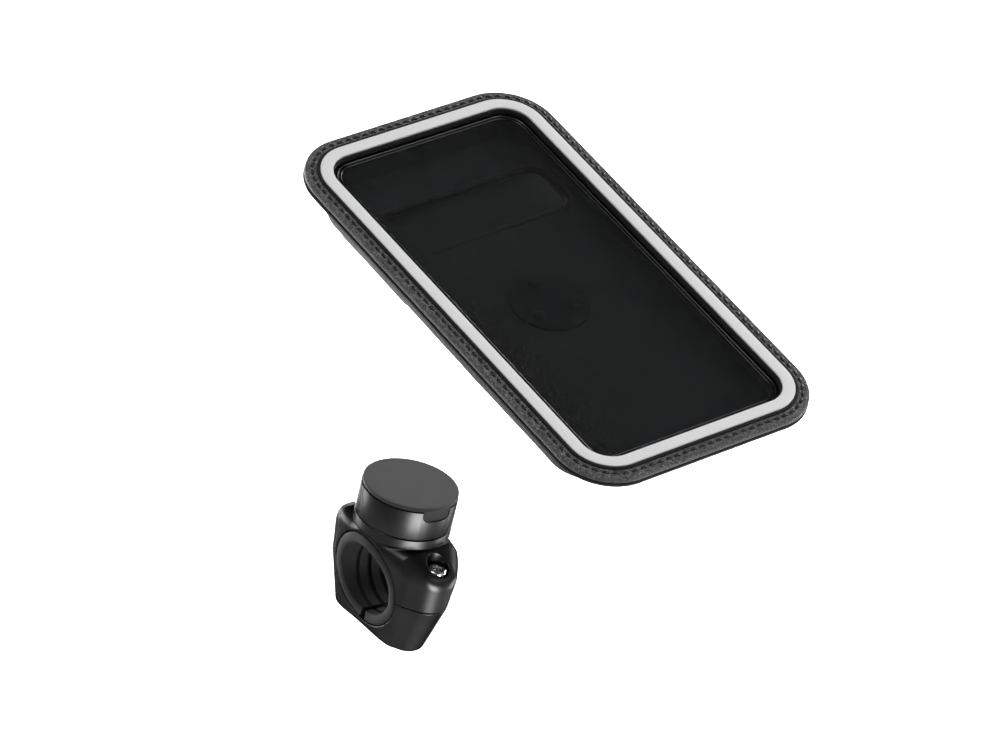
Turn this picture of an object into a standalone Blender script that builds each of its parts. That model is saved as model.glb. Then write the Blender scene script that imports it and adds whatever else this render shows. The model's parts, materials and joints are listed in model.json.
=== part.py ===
"""A handlebar phone mount: a two-screw bar clamp with a round magnetic head, and a stitched fabric
phone pouch whose magnetic puck docks on the head. The pouch is modelled docked, then lifted off.

Frame: the origin is the centre of the clamp's bore, +X along the handlebar, +Y forward, +Z up
along the head's axis. Sizes are written in millimetres and built in metres.
"""

from math import cos, pi, radians, sin

import bmesh
import bpy
from mathutils import Matrix, Vector

MM = 0.001
GAP = 0.3  # clearance between pieces that touch

# Clamp
BORE_RADIUS = 16.8
LINER_OUTER = 16.5
LINER_INNER = 12.9
LINER_SPLIT = 2.5
SIDE_AT_AXIS = 12.0  # half width of the clamp at the bar's axis
SIDE_TAPER = 0.1876  # the clamp widens upwards by this much per millimetre, on each side
FLANKS = {  # each end's shoulder, where the side turns to the screw boss's flank
    -1: {"shoulder": 17.0, "lean": 0.05, "widening": 0.0, "taper": 0.06, "edge": 7.0},
    1: {"shoulder": 18.6, "lean": 0.03, "widening": 1.0, "taper": 0.10, "edge": 5.0},
}
SHOULDER_LEAN_BELOW = 0.18  # how the shoulder and the nose move in below the bar's axis
NOSE = 26.7
NOSE_HALF_WIDTH = 4.0
NOSE_LEAN_ABOVE = 0.09
NOSE_LEAN_BELOW = 0.335
EDGE_AT_NECK = 1.0
EDGE_AT_NOSE = 3.4
SPINE_END = 20.0  # the line along the body's middle that its outline shrinks to, each way
JAW_SPINE_END = 12.0
JAW_BOTTOM = -19.8
JAW_EDGE = 2.0
SHOULDER = 19.0  # top of the body around the neck
SLOPE_START = 16.5  # where the boss's slanted top begins, from the bar's axis
SLOPE = 0.58
SCREW_Y = 21.3
COUNTERBORE_RADIUS = 4.0
COUNTERBORE_FLOOR = 10.5
SHAFT_RADIUS = 2.0
SHAFT_HOLE_RADIUS = 2.3
SCREW_TIP = -7.0
SCREW_HEAD_RADIUS = 3.4
SCREW_HEAD_HEIGHT = 4.0

# Head
HEAD_Y = 1.0  # the head stands this far in front of the bar's axis
HEAD_RADIUS = 16.7
NECK_BOTTOM = 18.2
NECK_TOP = 22.55
CUP_TOP = 33.4
CUP_FLOOR = 3.0
CUP_WALL = 2.1
PAD_TOP = 35.1
TONGUE_HALF_WIDTH = 5.5
TONGUE_BOTTOM = 30.0
TONGUE_THICKNESS = 0.8

# Pouch, in its own frame: x across, y along, z out of the window, 0 on the border's face
BORDER_WIDTH = 90.5
BORDER_LENGTH = 168.6
BORDER_BAND = 4.4
BORDER_CORNER = 14.5
RIM_MARGIN = 5.2
WINDOW_OVERLAP = 0.8
STITCH_INSET = 2.6
RIM_TOP = -1.1
RIM_BOTTOM = -2.6
FILM_TOP = -2.9
FILM_BOTTOM = -3.3
BACKING_TOP = -3.6
BACKING_BOTTOM = -4.8
BACK_WIDTH = 94.0
BACK_LENGTH = 163.5
BACK_WALL = 2.0
BACK_FACE = -14.3
BACK_FLOOR = 1.7
SLOT_HALF_WIDTH = 39.5
SLOT_FROM = 38.0
SLOT_TO = 60.0
FLAP_HINGE_Y = 66.0
FLAP_HALF_WIDTH = 42.0
FLAP_END = 20.5
FLAP_THICKNESS = 1.2
ANCHOR_WIDTH = 3.4
STRIP_FROM = 24.0
STRIP_TO = 34.0
STRIP_HALF_WIDTH = 34.0
STRIP_THICKNESS = 0.6
TAB_WIDTH = 14.0
TAB_FROM = 17.4
TAB_TO = 27.0

# Puck
PUCK_RADIUS = 16.0
PUCK_FACE = -19.6
PUCK_PLATE = 1.4
RIVET_CIRCLE = 9.0
RIVET_COUNT = 3

# Docking: the docked pouch is turned on the head, and swings off it about a distant axis
DOCK_HEIGHT = PAD_TOP + GAP - PUCK_FACE
DOCK_YAW = 10.0
LIFT_POINT = (-74.0, -235.0, 129.0)
LIFT_AXIS = (0.701, -0.501, -0.507)
LIFT_ANGLE = 15.4

CORNER_STEPS = 8
ROUND_STEPS = 48


def clear_scene():
    for thing in list(bpy.data.objects):
        bpy.data.objects.remove(thing, do_unlink=True)


def material(name, colour, roughness, metallic=0.0, alpha=1.0):
    made = bpy.data.materials.new(name)
    made.use_nodes = True
    shader = made.node_tree.nodes["Principled BSDF"]
    shader.inputs["Base Color"].default_value = (*colour, 1.0)
    shader.inputs["Roughness"].default_value = roughness
    shader.inputs["Metallic"].default_value = metallic
    shader.inputs["Alpha"].default_value = alpha
    return made


def make_materials():
    return {
        "clamp_alloy": material("clamp_alloy", (0.022, 0.022, 0.023), 0.38, 0.6),
        "liner_rubber": material("liner_rubber", (0.035, 0.035, 0.036), 0.7),
        "screw_steel": material("screw_steel", (0.62, 0.62, 0.63), 0.25, 1.0),
        "plate_steel": material("plate_steel", (0.45, 0.45, 0.46), 0.4, 1.0),
        "black_steel": material("black_steel", (0.02, 0.02, 0.02), 0.5, 0.6),
        "magnet_nickel": material("magnet_nickel", (0.6, 0.58, 0.54), 0.22, 1.0),
        "pad_rubber": material("pad_rubber", (0.12, 0.12, 0.12), 0.85),
        "rim_fabric": material("rim_fabric", (0.07, 0.07, 0.072), 0.9),
        "thread": material("thread", (0.012, 0.012, 0.012), 0.6),
        "reflective_tape": material("reflective_tape", (0.7, 0.7, 0.7), 0.45),
        "clear_film": material("clear_film", (0.85, 0.87, 0.88), 0.08, 0.0, 0.3),
        "back_fabric": material("back_fabric", (0.015, 0.015, 0.016), 0.85),
        "hook_tape": material("hook_tape", (0.02, 0.02, 0.02), 0.95),
        "puck_plastic": material("puck_plastic", (0.02, 0.02, 0.021), 0.45),
    }


def empty_at(name, point, parent=None):
    made = bpy.data.objects.new(name, None)
    bpy.context.collection.objects.link(made)
    made.location = Vector(point) * MM
    made.parent = parent
    return made


def solid(name, rings, finish, parent=None, closed_loop=False, smooth=True):
    """One closed body from rings of points in millimetres, each ring with as many points as the
    next. The first and last rings are capped or, in a closed loop, joined to each other."""
    mesh = bpy.data.meshes.new(name)
    shape = bmesh.new()
    made = [[shape.verts.new(Vector(p) * MM) for p in ring] for ring in rings]
    pairs = list(zip(made, made[1:]))
    if closed_loop:
        pairs.append((made[-1], made[0]))
    else:
        shape.faces.new(made[0])
        shape.faces.new(made[-1])
    for low, high in pairs:
        for i in range(len(low)):
            j = (i + 1) % len(low)
            shape.faces.new((low[i], low[j], high[j], high[i]))
    bmesh.ops.recalc_face_normals(shape, faces=shape.faces)
    shape.to_mesh(mesh)
    shape.free()
    if smooth:
        mesh.shade_smooth()
        mesh.set_sharp_from_angle(angle=radians(35))
    made_object = bpy.data.objects.new(name, mesh)
    bpy.context.collection.objects.link(made_object)
    made_object.parent = parent
    if finish:
        mesh.materials.append(finish)
    return made_object


def cutter(name, rings, parent=None, closed_loop=False):
    made = solid(name, rings, None, parent, closed_loop)
    made.hide_render = True
    made.display_type = "WIRE"
    return made


def boolean(target, other, operation="DIFFERENCE"):
    step = target.modifiers.new(other.name, "BOOLEAN")
    step.operation = operation
    step.solver = "EXACT"
    step.object = other


def circle(radius, z, centre=(0.0, 0.0), steps=ROUND_STEPS):
    return [
        (centre[0] + radius * cos(2 * pi * i / steps), centre[1] + radius * sin(2 * pi * i / steps), z)
        for i in range(steps)
    ]


def turned(profile, centre=(0.0, 0.0), steps=ROUND_STEPS):
    """Rings of a solid turned about an upright axis, from (radius, height) pairs."""
    return [circle(radius, z, centre, steps) for radius, z in profile]


def rounded(width, length, corner, z, centre_y=0.0):
    """A rounded rectangle's outline."""
    points = []
    for quarter, (side_x, side_y) in enumerate(((1, 1), (-1, 1), (-1, -1), (1, -1))):
        middle_x = side_x * (width / 2 - corner)
        middle_y = side_y * (length / 2 - corner)
        for step in range(CORNER_STEPS + 1):
            angle = pi / 2 * (quarter + step / CORNER_STEPS)
            points.append((middle_x + corner * cos(angle), centre_y + middle_y + corner * sin(angle), z))
    return points


def frame_rings(outer, inner, bottom, top):
    """A flat frame between two rounded rectangles, each given as (width, length, corner)."""
    return [
        rounded(*outer, bottom),
        rounded(*outer, top),
        rounded(*inner, top),
        rounded(*inner, bottom),
    ]


def corner_point(start, corner, end, step):
    """A point on the rounded corner between two straight sides, with step from 0 to 1."""
    return tuple(
        (1 - step) ** 2 * a + 2 * step * (1 - step) * b + step**2 * c for a, b, c in zip(start, corner, end)
    )


def between(a, b, share):
    return a + (b - a) * share


def smooth_step(share):
    share = max(0.0, min(1.0, share))
    return share * share * (3 - 2 * share)


def quarter_outline(z, end):
    """A quarter of the clamp body's outline at one height, from the middle of its side to the nose
    of the screw boss at one end: -1 is the rear, 1 the front. The side flares out under the neck."""
    flank = FLANKS[end]
    middle = SIDE_AT_AXIS + SIDE_TAPER * z
    side = SIDE_AT_AXIS + flank["widening"] + (SIDE_TAPER if z < 0 else flank["taper"]) * z
    shoulder_y = flank["shoulder"] + (SHOULDER_LEAN_BELOW if z < 0 else flank["lean"]) * z
    nose_half = NOSE_HALF_WIDTH + 0.05 * z
    nose_y = NOSE + (NOSE_LEAN_BELOW if z < 0 else NOSE_LEAN_ABOVE) * z

    def on_side(y):
        return (between(middle, side, (y / shoulder_y) ** 2), y)

    def on_flank(share):
        return (between(side, nose_half, share), between(shoulder_y, nose_y, share))

    points = [on_side(shoulder_y * share) for share in (0.0, 0.2, 0.35)]
    start = on_side(shoulder_y * 0.5)
    corner = (side, shoulder_y)
    points += [corner_point(start, corner, on_flank(0.3), step / 6) for step in range(7)]
    nose = (nose_half, nose_y)
    points += [corner_point(on_flank(0.68), nose, (0.0, nose_y), step / 5) for step in range(6)]
    return points


OUTLINE_POINTS = len(quarter_outline(0.0, 1))


def side_face(y, z):
    """How far the clamp body reaches along X at a place on its side."""
    points = quarter_outline(z, 1 if y > 0 else -1)
    for (near_x, near_y), (far_x, far_y) in zip(points, points[1:]):
        if near_y <= abs(y) <= far_y:
            return between(near_x, far_x, (abs(y) - near_y) / (far_y - near_y))
    return points[-1][0]


def slope_height(y):
    """The height of the body's top, which slopes down along the screw bosses."""
    return SHOULDER - SLOPE * max(0.0, abs(y) - SLOPE_START)


def wall_point(index, end, z):
    x, y = quarter_outline(z, end)[index]
    return (x, y, z)


def top_corner(index, end):
    """Where the body's side would meet its top if the edge between them were sharp."""
    z = SHOULDER
    for _ in range(6):
        z = slope_height(quarter_outline(z, end)[index][1])
    return wall_point(index, end, z)


def edge_radius(y, end):
    """The top edge is tight beside the neck, broad at the shoulder and softer at the nose."""
    radius = between(EDGE_AT_NECK, FLANKS[end]["edge"], smooth_step((y - 2.0) / 8.0))
    return between(radius, EDGE_AT_NOSE, smooth_step((y - 19.0) / 7.0))


def towards_spine(point, keep, spine=SPINE_END):
    """A point moved towards the line along the body's middle, keeping a share of its distance."""
    x, y, z = point
    spine_y = min(y, spine)
    return (x * keep, between(spine_y, y, keep), z)


def inset(point, distance, spine=SPINE_END):
    x, y, _ = point
    reach = (x**2 + (y - min(y, spine)) ** 2) ** 0.5
    return towards_spine(point, max(0.0, 1 - distance / reach), spine)


def on_top(point):
    x, y, _ = point
    return (x, y, slope_height(y))


def body_ring(point_at):
    """A ring round the clamp body from point_at(index, end), which gives its right-hand side."""
    last = OUTLINE_POINTS - 1
    front = [point_at(index, 1) for index in range(OUTLINE_POINTS)]
    rear = [point_at(index, -1) for index in range(OUTLINE_POINTS)]
    ring = list(front)
    ring += [(-x, y, z) for x, y, z in front[last - 1 :: -1]]
    ring += [(-x, -y, z) for x, y, z in rear[1:]]
    ring += [(x, -y, z) for x, y, z in rear[last - 1 : 0 : -1]]
    return ring


def along_x(radius, half, steps=64):
    """Rings of a round bar along the handlebar's axis."""
    return [
        [(x, radius * cos(2 * pi * i / steps), radius * sin(2 * pi * i / steps)) for i in range(steps)]
        for x in (-half, half)
    ]


def edge_ends(index, end):
    """A top edge's rounding: where it leaves the wall, its sharp corner, and where it meets the top."""
    corner = top_corner(index, end)
    radius = edge_radius(corner[1], end)
    low = wall_point(index, end, corner[2] - radius)
    return low, corner, on_top(inset(corner, radius))


def wall_ring(share):
    """A ring at a share of the way up the saddle's wall, which ends where the top edge starts."""

    def point_at(index, end):
        low = edge_ends(index, end)[0]
        return wall_point(index, end, between(GAP / 2, low[2], share))

    return body_ring(point_at)


def edge_ring(step):
    return body_ring(lambda index, end: corner_point(*edge_ends(index, end), step))


def top_ring(keep):
    return body_ring(lambda index, end: on_top(towards_spine(edge_ends(index, end)[2], keep)))


def build_saddle(parent, finish):
    rings = [wall_ring(share) for share in (0.0, 0.35, 0.7, 1.0)]
    rings += [edge_ring(step / 4) for step in (1, 2, 3, 4)]
    rings += [top_ring(keep) for keep in (0.6, 0.2)]
    saddle = solid("clamp_saddle", rings, finish, parent)
    for end, name in ((-1, "rear_hole"), (1, "front_hole")):
        profile = [
            (SHAFT_HOLE_RADIUS, -2.0),
            (SHAFT_HOLE_RADIUS, COUNTERBORE_FLOOR),
            (COUNTERBORE_RADIUS, COUNTERBORE_FLOOR),
            (COUNTERBORE_RADIUS, 30.0),
        ]
        boolean(saddle, cutter(name, turned(profile, (0.0, end * SCREW_Y), 32), parent))
    neck = cutter(
        "neck_shape",
        turned(
            [
                (HEAD_RADIUS - 3.0, NECK_BOTTOM - 1.2),
                (HEAD_RADIUS - 0.8, NECK_BOTTOM),
                (HEAD_RADIUS - 0.2, NECK_BOTTOM + 0.4),
                (HEAD_RADIUS, NECK_BOTTOM + 1.0),
                (HEAD_RADIUS, NECK_TOP - 0.2),
                (HEAD_RADIUS - 0.2, NECK_TOP),
            ],
            (0.0, HEAD_Y),
        ),
        parent,
    )
    boolean(saddle, neck, "UNION")
    boolean(saddle, cutter("bar_bore", along_x(BORE_RADIUS, 30.0), parent))
    pivot = turned([(SHAFT_HOLE_RADIUS, 18.7), (SHAFT_HOLE_RADIUS, 30.0)], (0.0, HEAD_Y), 24)
    boolean(saddle, cutter("pivot_hole", pivot, parent))
    return saddle


def jaw_edge_ring(step):
    def point_at(index, end):
        corner = wall_point(index, end, JAW_BOTTOM)
        high = wall_point(index, end, JAW_BOTTOM + JAW_EDGE)
        return corner_point(inset(corner, JAW_EDGE, JAW_SPINE_END), corner, high, step)

    return body_ring(point_at)


def build_jaw(parent, finish):
    def bottom_point(index, end):
        return towards_spine(wall_point(index, end, JAW_BOTTOM), 0.5, JAW_SPINE_END)

    bottom = body_ring(bottom_point)
    rings = [bottom] + [jaw_edge_ring(step / 3) for step in range(4)]
    for z in (-12.0, -6.0, -GAP / 2):
        rings.append(body_ring(lambda index, end: wall_point(index, end, z)))
    jaw = solid("clamp_jaw", rings, finish, parent)
    boolean(jaw, cutter("jaw_bore", along_x(BORE_RADIUS, 30.0), parent))
    for end, name in ((-1, "rear_thread"), (1, "front_thread")):
        hole = turned([(SHAFT_HOLE_RADIUS, -7.6), (SHAFT_HOLE_RADIUS, 3.0)], (0.0, end * SCREW_Y), 24)
        boolean(jaw, cutter(name, hole, parent))
    return jaw


def build_liner(parent, finish):
    """A rubber ring split at its lowest point, whose ends follow the clamp's sides."""
    steps = 48
    half_split = LINER_SPLIT / 2 / LINER_OUTER
    angles = [-pi / 2 + half_split + (2 * pi - 2 * half_split) * i / steps for i in range(steps + 1)]
    rings = []
    for angle in angles:
        section = []
        for side, radius in ((-1, LINER_OUTER), (1, LINER_OUTER), (1, LINER_INNER), (-1, LINER_INNER)):
            y, z = radius * cos(angle), radius * sin(angle)
            section.append((side * side_face(y, z), y, z))
        rings.append(section)
    return solid("bar_liner", rings, finish, parent)


def build_clamp_screw(name, y, parent, finish):
    """A socket-head screw under its seat, with the hexagon socket open at the top."""
    seat = COUNTERBORE_FLOOR + GAP
    top = seat + SCREW_HEAD_HEIGHT
    profile = [
        (SHAFT_RADIUS - 0.5, SCREW_TIP),
        (SHAFT_RADIUS, SCREW_TIP + 0.5),
        (SHAFT_RADIUS, seat),
        (SCREW_HEAD_RADIUS, seat),
        (SCREW_HEAD_RADIUS, top - 0.5),
        (SCREW_HEAD_RADIUS - 0.4, top),
    ]
    screw = solid(name, turned(profile, (0.0, 0.0), 24), finish, parent)
    screw.location = Vector((0.0, y, 0.0)) * MM
    socket = cutter(name + "_socket", turned([(1.7, top - 2.2), (1.7, top + 2.0)], steps=6), screw)
    boolean(screw, socket)
    return screw


def build_pivot(parent, steel):
    """The screw and washer that hold the turning head on the neck."""
    floor = NECK_TOP + GAP + CUP_FLOOR
    washer = floor + GAP
    seat = washer + 0.6 + GAP
    solid(
        "pivot_washer",
        turned([(2.5, washer), (5.0, washer), (5.0, washer + 0.6), (2.5, washer + 0.6)], (0.0, HEAD_Y), 24),
        steel,
        parent,
        closed_loop=True,
    )
    profile = [(SHAFT_RADIUS, 19.0), (SHAFT_RADIUS, seat), (3.6, seat), (3.6, seat + 1.5), (3.0, seat + 2.0)]
    screw = solid("pivot_screw", turned(profile, (0.0, HEAD_Y), 24), steel, parent)
    socket = turned([(1.3, seat + 0.8), (1.3, seat + 4.0)], (0.0, HEAD_Y), 6)
    boolean(screw, cutter("pivot_socket", socket, parent))


def build_head(parent, mats):
    low = NECK_TOP + GAP
    floor = low + CUP_FLOOR
    inner = HEAD_RADIUS - CUP_WALL
    cup = solid(
        "head_cup",
        turned(
            [
                (SHAFT_HOLE_RADIUS, low),
                (HEAD_RADIUS - 0.2, low),
                (HEAD_RADIUS, low + 0.2),
                (HEAD_RADIUS, CUP_TOP),
                (inner, CUP_TOP),
                (inner, floor),
                (SHAFT_HOLE_RADIUS, floor),
            ]
        ),
        mats["clamp_alloy"],
        parent,
        closed_loop=True,
    )
    notch_bottom = TONGUE_BOTTOM - GAP
    notch = tongue_rings(TONGUE_HALF_WIDTH + GAP, notch_bottom, HEAD_RADIUS - TONGUE_THICKNESS - 0.7, 25.0)
    boolean(cup, cutter("tongue_notch", notch, parent))
    plate_low = floor + GAP
    solid(
        "head_pole_plate",
        turned([(5.5, plate_low), (14.2, plate_low), (14.2, plate_low + 2.4), (5.5, plate_low + 2.4)]),
        mats["plate_steel"],
        parent,
        closed_loop=True,
    )
    magnet_low = plate_low + 3.2
    profile = [(13.7, magnet_low), (14.0, magnet_low + 0.3), (14.0, 32.8), (13.7, 33.1)]
    solid("head_magnet", turned(profile), mats["magnet_nickel"], parent)
    pad = solid(
        "grip_pad",
        turned([(16.3, CUP_TOP + GAP), (16.5, CUP_TOP + 0.6), (16.5, PAD_TOP - 0.25), (16.25, PAD_TOP)]),
        mats["pad_rubber"],
        parent,
    )
    tongue = tongue_rings(TONGUE_HALF_WIDTH, TONGUE_BOTTOM, HEAD_RADIUS - TONGUE_THICKNESS - 0.2, 16.5, PAD_TOP - 0.7)
    boolean(pad, cutter("tongue_shape", tongue, parent), "UNION")


def tongue_rings(half, bottom, inner, outer, top=40.0):
    """The pad's tongue, which folds down the head's side: a strip of the cylinder's wall with
    rounded lower corners. Two outlines, one on each radius."""
    corner = 2.6
    outline = [(half, top), (-half, top)]
    for step in range(5):
        angle = pi + pi / 2 * step / 4
        outline.append((-half + corner + corner * cos(angle), bottom + corner + corner * sin(angle)))
    for step in range(5):
        angle = 1.5 * pi + pi / 2 * step / 4
        outline.append((half - corner + corner * cos(angle), bottom + corner + corner * sin(angle)))
    return [[(x, -((radius**2 - x**2) ** 0.5), z) for x, z in outline] for radius in (inner, outer)]


def build_rim(parent, mats):
    outer = (BORDER_WIDTH + 2 * RIM_MARGIN, BORDER_LENGTH + 2 * RIM_MARGIN, BORDER_CORNER + RIM_MARGIN)
    border = (BORDER_WIDTH, BORDER_LENGTH, BORDER_CORNER)
    window = (
        BORDER_WIDTH - 2 * BORDER_BAND,
        BORDER_LENGTH - 2 * BORDER_BAND,
        BORDER_CORNER - BORDER_BAND,
    )
    hole = tuple(size - WINDOW_OVERLAP for size in window)
    wide_hole = (window[0] + 2.5, window[1] + 2.5, window[2] + 1.0)
    film = (BORDER_WIDTH + 4.0, BORDER_LENGTH + 4.0, BORDER_CORNER + 2.0)
    line = STITCH_INSET
    seam_out = (outer[0] - 2 * line + 0.5, outer[1] - 2 * line + 0.5, outer[2] - line + 0.25)
    seam_in = (outer[0] - 2 * line - 0.5, outer[1] - 2 * line - 0.5, outer[2] - line - 0.25)
    frames = (
        ("pouch_rim", outer, hole, RIM_BOTTOM, RIM_TOP, "rim_fabric"),
        ("rim_backing", outer, wide_hole, BACKING_BOTTOM, BACKING_TOP, "back_fabric"),
        ("rim_stitching", seam_out, seam_in, RIM_TOP + GAP, RIM_TOP + 0.7, "thread"),
        ("reflective_border", border, window, RIM_TOP + GAP, 0.0, "reflective_tape"),
    )
    for name, outside, inside, bottom, top, finish in frames:
        solid(name, frame_rings(outside, inside, bottom, top), mats[finish], parent, closed_loop=True)
    rings = [rounded(*film, FILM_BOTTOM), rounded(*film, FILM_TOP)]
    solid("window_film", rings, mats["clear_film"], parent)


def build_back(parent, mats):
    """The fabric tray behind the window. Its walls slope in to the floor, most at the ends."""
    top = BACKING_BOTTOM - GAP
    inside = BACK_FACE + BACK_FLOOR
    rings = [
        rounded(BACK_WIDTH - 7.0, BACK_LENGTH - 14.0, 13.0, BACK_FACE),
        rounded(BACK_WIDTH - 4.5, BACK_LENGTH - 10.5, 14.5, BACK_FACE + 0.7),
        rounded(BACK_WIDTH - 3.0, BACK_LENGTH - 8.0, 15.5, BACK_FACE + 2.5),
        rounded(BACK_WIDTH, BACK_LENGTH, 17.0, top),
        rounded(BACK_WIDTH - 2 * BACK_WALL, BACK_LENGTH - 2 * BACK_WALL, 15.0, top),
        rounded(BACK_WIDTH - 3.0 - 2 * BACK_WALL, BACK_LENGTH - 8.0 - 2 * BACK_WALL, 13.0, inside + 0.6),
        rounded(BACK_WIDTH - 5.0 - 2 * BACK_WALL, BACK_LENGTH - 10.0 - 2 * BACK_WALL, 12.0, inside),
    ]
    back = solid("pouch_back", rings, mats["back_fabric"], parent)
    slot_middle = (SLOT_FROM + SLOT_TO) / 2
    slot = [rounded(2 * SLOT_HALF_WIDTH, SLOT_TO - SLOT_FROM, 6.0, z, slot_middle) for z in (-25.0, -9.0)]
    boolean(back, cutter("phone_slot", slot, parent))
    for index in range(RIVET_COUNT):
        hole = turned([(1.5, -25.0), (1.5, -9.0)], rivet_centre(index), 16)
        boolean(back, cutter(f"back_rivet_hole_{index + 1}", hole, parent))
    top = BACK_FACE - GAP
    strip = [strip_outline(STRIP_FROM, STRIP_TO, z) for z in (top - STRIP_THICKNESS, top)]
    solid("flap_loop_strip", strip, mats["hook_tape"], parent)
    middle = FLAP_HINGE_Y + GAP + ANCHOR_WIDTH / 2
    anchor = [rounded(2 * FLAP_HALF_WIDTH - 6.0, ANCHOR_WIDTH, 1.0, z, middle) for z in (top - 0.9, top)]
    solid("flap_anchor", anchor, mats["back_fabric"], parent)


def strip_outline(start, end, z):
    return rounded(2 * STRIP_HALF_WIDTH, end - start, 1.5, z, (start + end) / 2)


def rivet_centre(index):
    angle = 2 * pi * index / RIVET_COUNT + pi / 2
    return (RIVET_CIRCLE * cos(angle), RIVET_CIRCLE * sin(angle))


def build_flap(parent, mats):
    """The flap over the slot, its hook strip and its pull tab, made about the flap's fold line."""
    hook_top = BACK_FACE - 2 * GAP - STRIP_THICKNESS
    top = hook_top - STRIP_THICKNESS - GAP
    bottom = top - FLAP_THICKNESS
    hinge_z = (top + bottom) / 2
    hinge = empty_at("flap_hinge", (0.0, FLAP_HINGE_Y, hinge_z), parent)
    back = Matrix.Translation(Vector((0.0, -FLAP_HINGE_Y, -hinge_z)) * MM)
    length = FLAP_HINGE_Y - GAP - FLAP_END
    middle = FLAP_END + length / 2
    plate = [rounded(2 * FLAP_HALF_WIDTH, length, 4.0, z, middle) for z in (bottom, top)]
    hook = [strip_outline(STRIP_FROM - 1.0, STRIP_TO + 1.0, z) for z in (top + GAP, hook_top)]
    tab_middle = (TAB_FROM + TAB_TO) / 2
    tab = [rounded(TAB_WIDTH, TAB_TO - TAB_FROM, 3.0, z, tab_middle) for z in (bottom - 1.3, bottom - GAP)]
    pieces = (
        ("back_flap", plate, "back_fabric"),
        ("flap_hook_strip", hook, "hook_tape"),
        ("flap_pull_tab", tab, "rim_fabric"),
    )
    for name, rings, finish in pieces:
        made = solid(name, rings, mats[finish], hinge)
        made.matrix_local = back
    return hinge


def build_puck(parent, mats):
    """The round magnet housing on the pouch's back, riveted through it to a plate inside."""
    top = BACK_FACE - GAP
    plate = top - PUCK_PLATE
    wall_end = PUCK_FACE + 0.4
    inner = PUCK_RADIUS - 1.5
    housing = [
        (inner, plate),
        (inner, wall_end),
        (PUCK_RADIUS - 0.3, wall_end),
        (PUCK_RADIUS, wall_end + 0.3),
        (PUCK_RADIUS, top - 0.6),
        (PUCK_RADIUS - 0.6, top),
    ]
    made = solid("puck_housing", turned(housing), mats["puck_plastic"], parent)
    magnet = [(13.8, plate - 2.4), (14.1, plate - 2.1), (14.1, plate - 0.6), (13.8, plate - GAP)]
    solid("puck_magnet", turned(magnet), mats["magnet_nickel"], parent)
    face = [(13.9, PUCK_FACE), (14.1, PUCK_FACE + 0.2), (14.1, plate - 2.4 - GAP)]
    solid("puck_face", turned(face), mats["pad_rubber"], parent)
    inside = BACK_FACE + BACK_FLOOR
    retainer = [(14.0, inside + GAP), (14.0, inside + 1.0), (13.7, inside + 1.1)]
    keeper = solid("puck_retainer", turned(retainer), mats["black_steel"], parent)
    for index in range(RIVET_COUNT):
        centre = rivet_centre(index)
        seat = inside + 1.1 + GAP
        hole = turned([(1.5, -25.0), (1.5, -9.0)], centre, 16)
        boolean(made, cutter(f"housing_hole_{index + 1}", hole, parent))
        boolean(keeper, cutter(f"retainer_hole_{index + 1}", hole, parent))
        rivet = [(1.2, plate + 0.1), (1.2, seat), (2.2, seat), (2.1, seat + 0.3), (1.4, seat + 0.6)]
        solid(f"puck_rivet_{index + 1}", turned(rivet, centre, 16), mats["black_steel"], parent)


def lift_pouch(pouch):
    """Turns the docked pouch about the lifting axis, up to where it is held."""
    point = Vector(LIFT_POINT) * MM
    turn = Matrix.Rotation(radians(LIFT_ANGLE), 4, Vector(LIFT_AXIS).normalized())
    yaw = Matrix.Rotation(radians(DOCK_YAW), 4, "Z")
    docked = Matrix.Translation(Vector((0.0, HEAD_Y, DOCK_HEIGHT)) * MM) @ yaw
    pouch.matrix_world = Matrix.Translation(point) @ turn @ Matrix.Translation(-point) @ docked


def main():
    clear_scene()
    mats = make_materials()
    clamp = empty_at("clamp_frame", (0.0, 0.0, 0.0))
    head = empty_at("head_axis", (0.0, HEAD_Y, 0.0), clamp)
    pouch = empty_at("pouch_frame", (0.0, 0.0, 0.0))
    build_saddle(clamp, mats["clamp_alloy"])
    build_jaw(clamp, mats["clamp_alloy"])
    build_liner(clamp, mats["liner_rubber"])
    build_clamp_screw("clamp_screw_rear", -SCREW_Y, clamp, mats["screw_steel"])
    build_clamp_screw("clamp_screw_front", SCREW_Y, clamp, mats["screw_steel"])
    build_pivot(clamp, mats["screw_steel"])
    build_head(head, mats)
    build_rim(pouch, mats)
    build_back(pouch, mats)
    build_flap(pouch, mats)
    build_puck(pouch, mats)
    lift_pouch(pouch)


main()
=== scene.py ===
"""The looks of the handlebar phone mount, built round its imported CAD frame.

Pieces are built in millimetres in the frame they belong to (the clamp's, the head's or the pouch's)
and placed by that frame's matrix. Lights and the camera are in metres, in the row frame.
"""

import json
from math import atan2, cos, exp, hypot, pi, radians, sin, sqrt

import bmesh
import bpy
from mathutils import Matrix, Vector, noise


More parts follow.
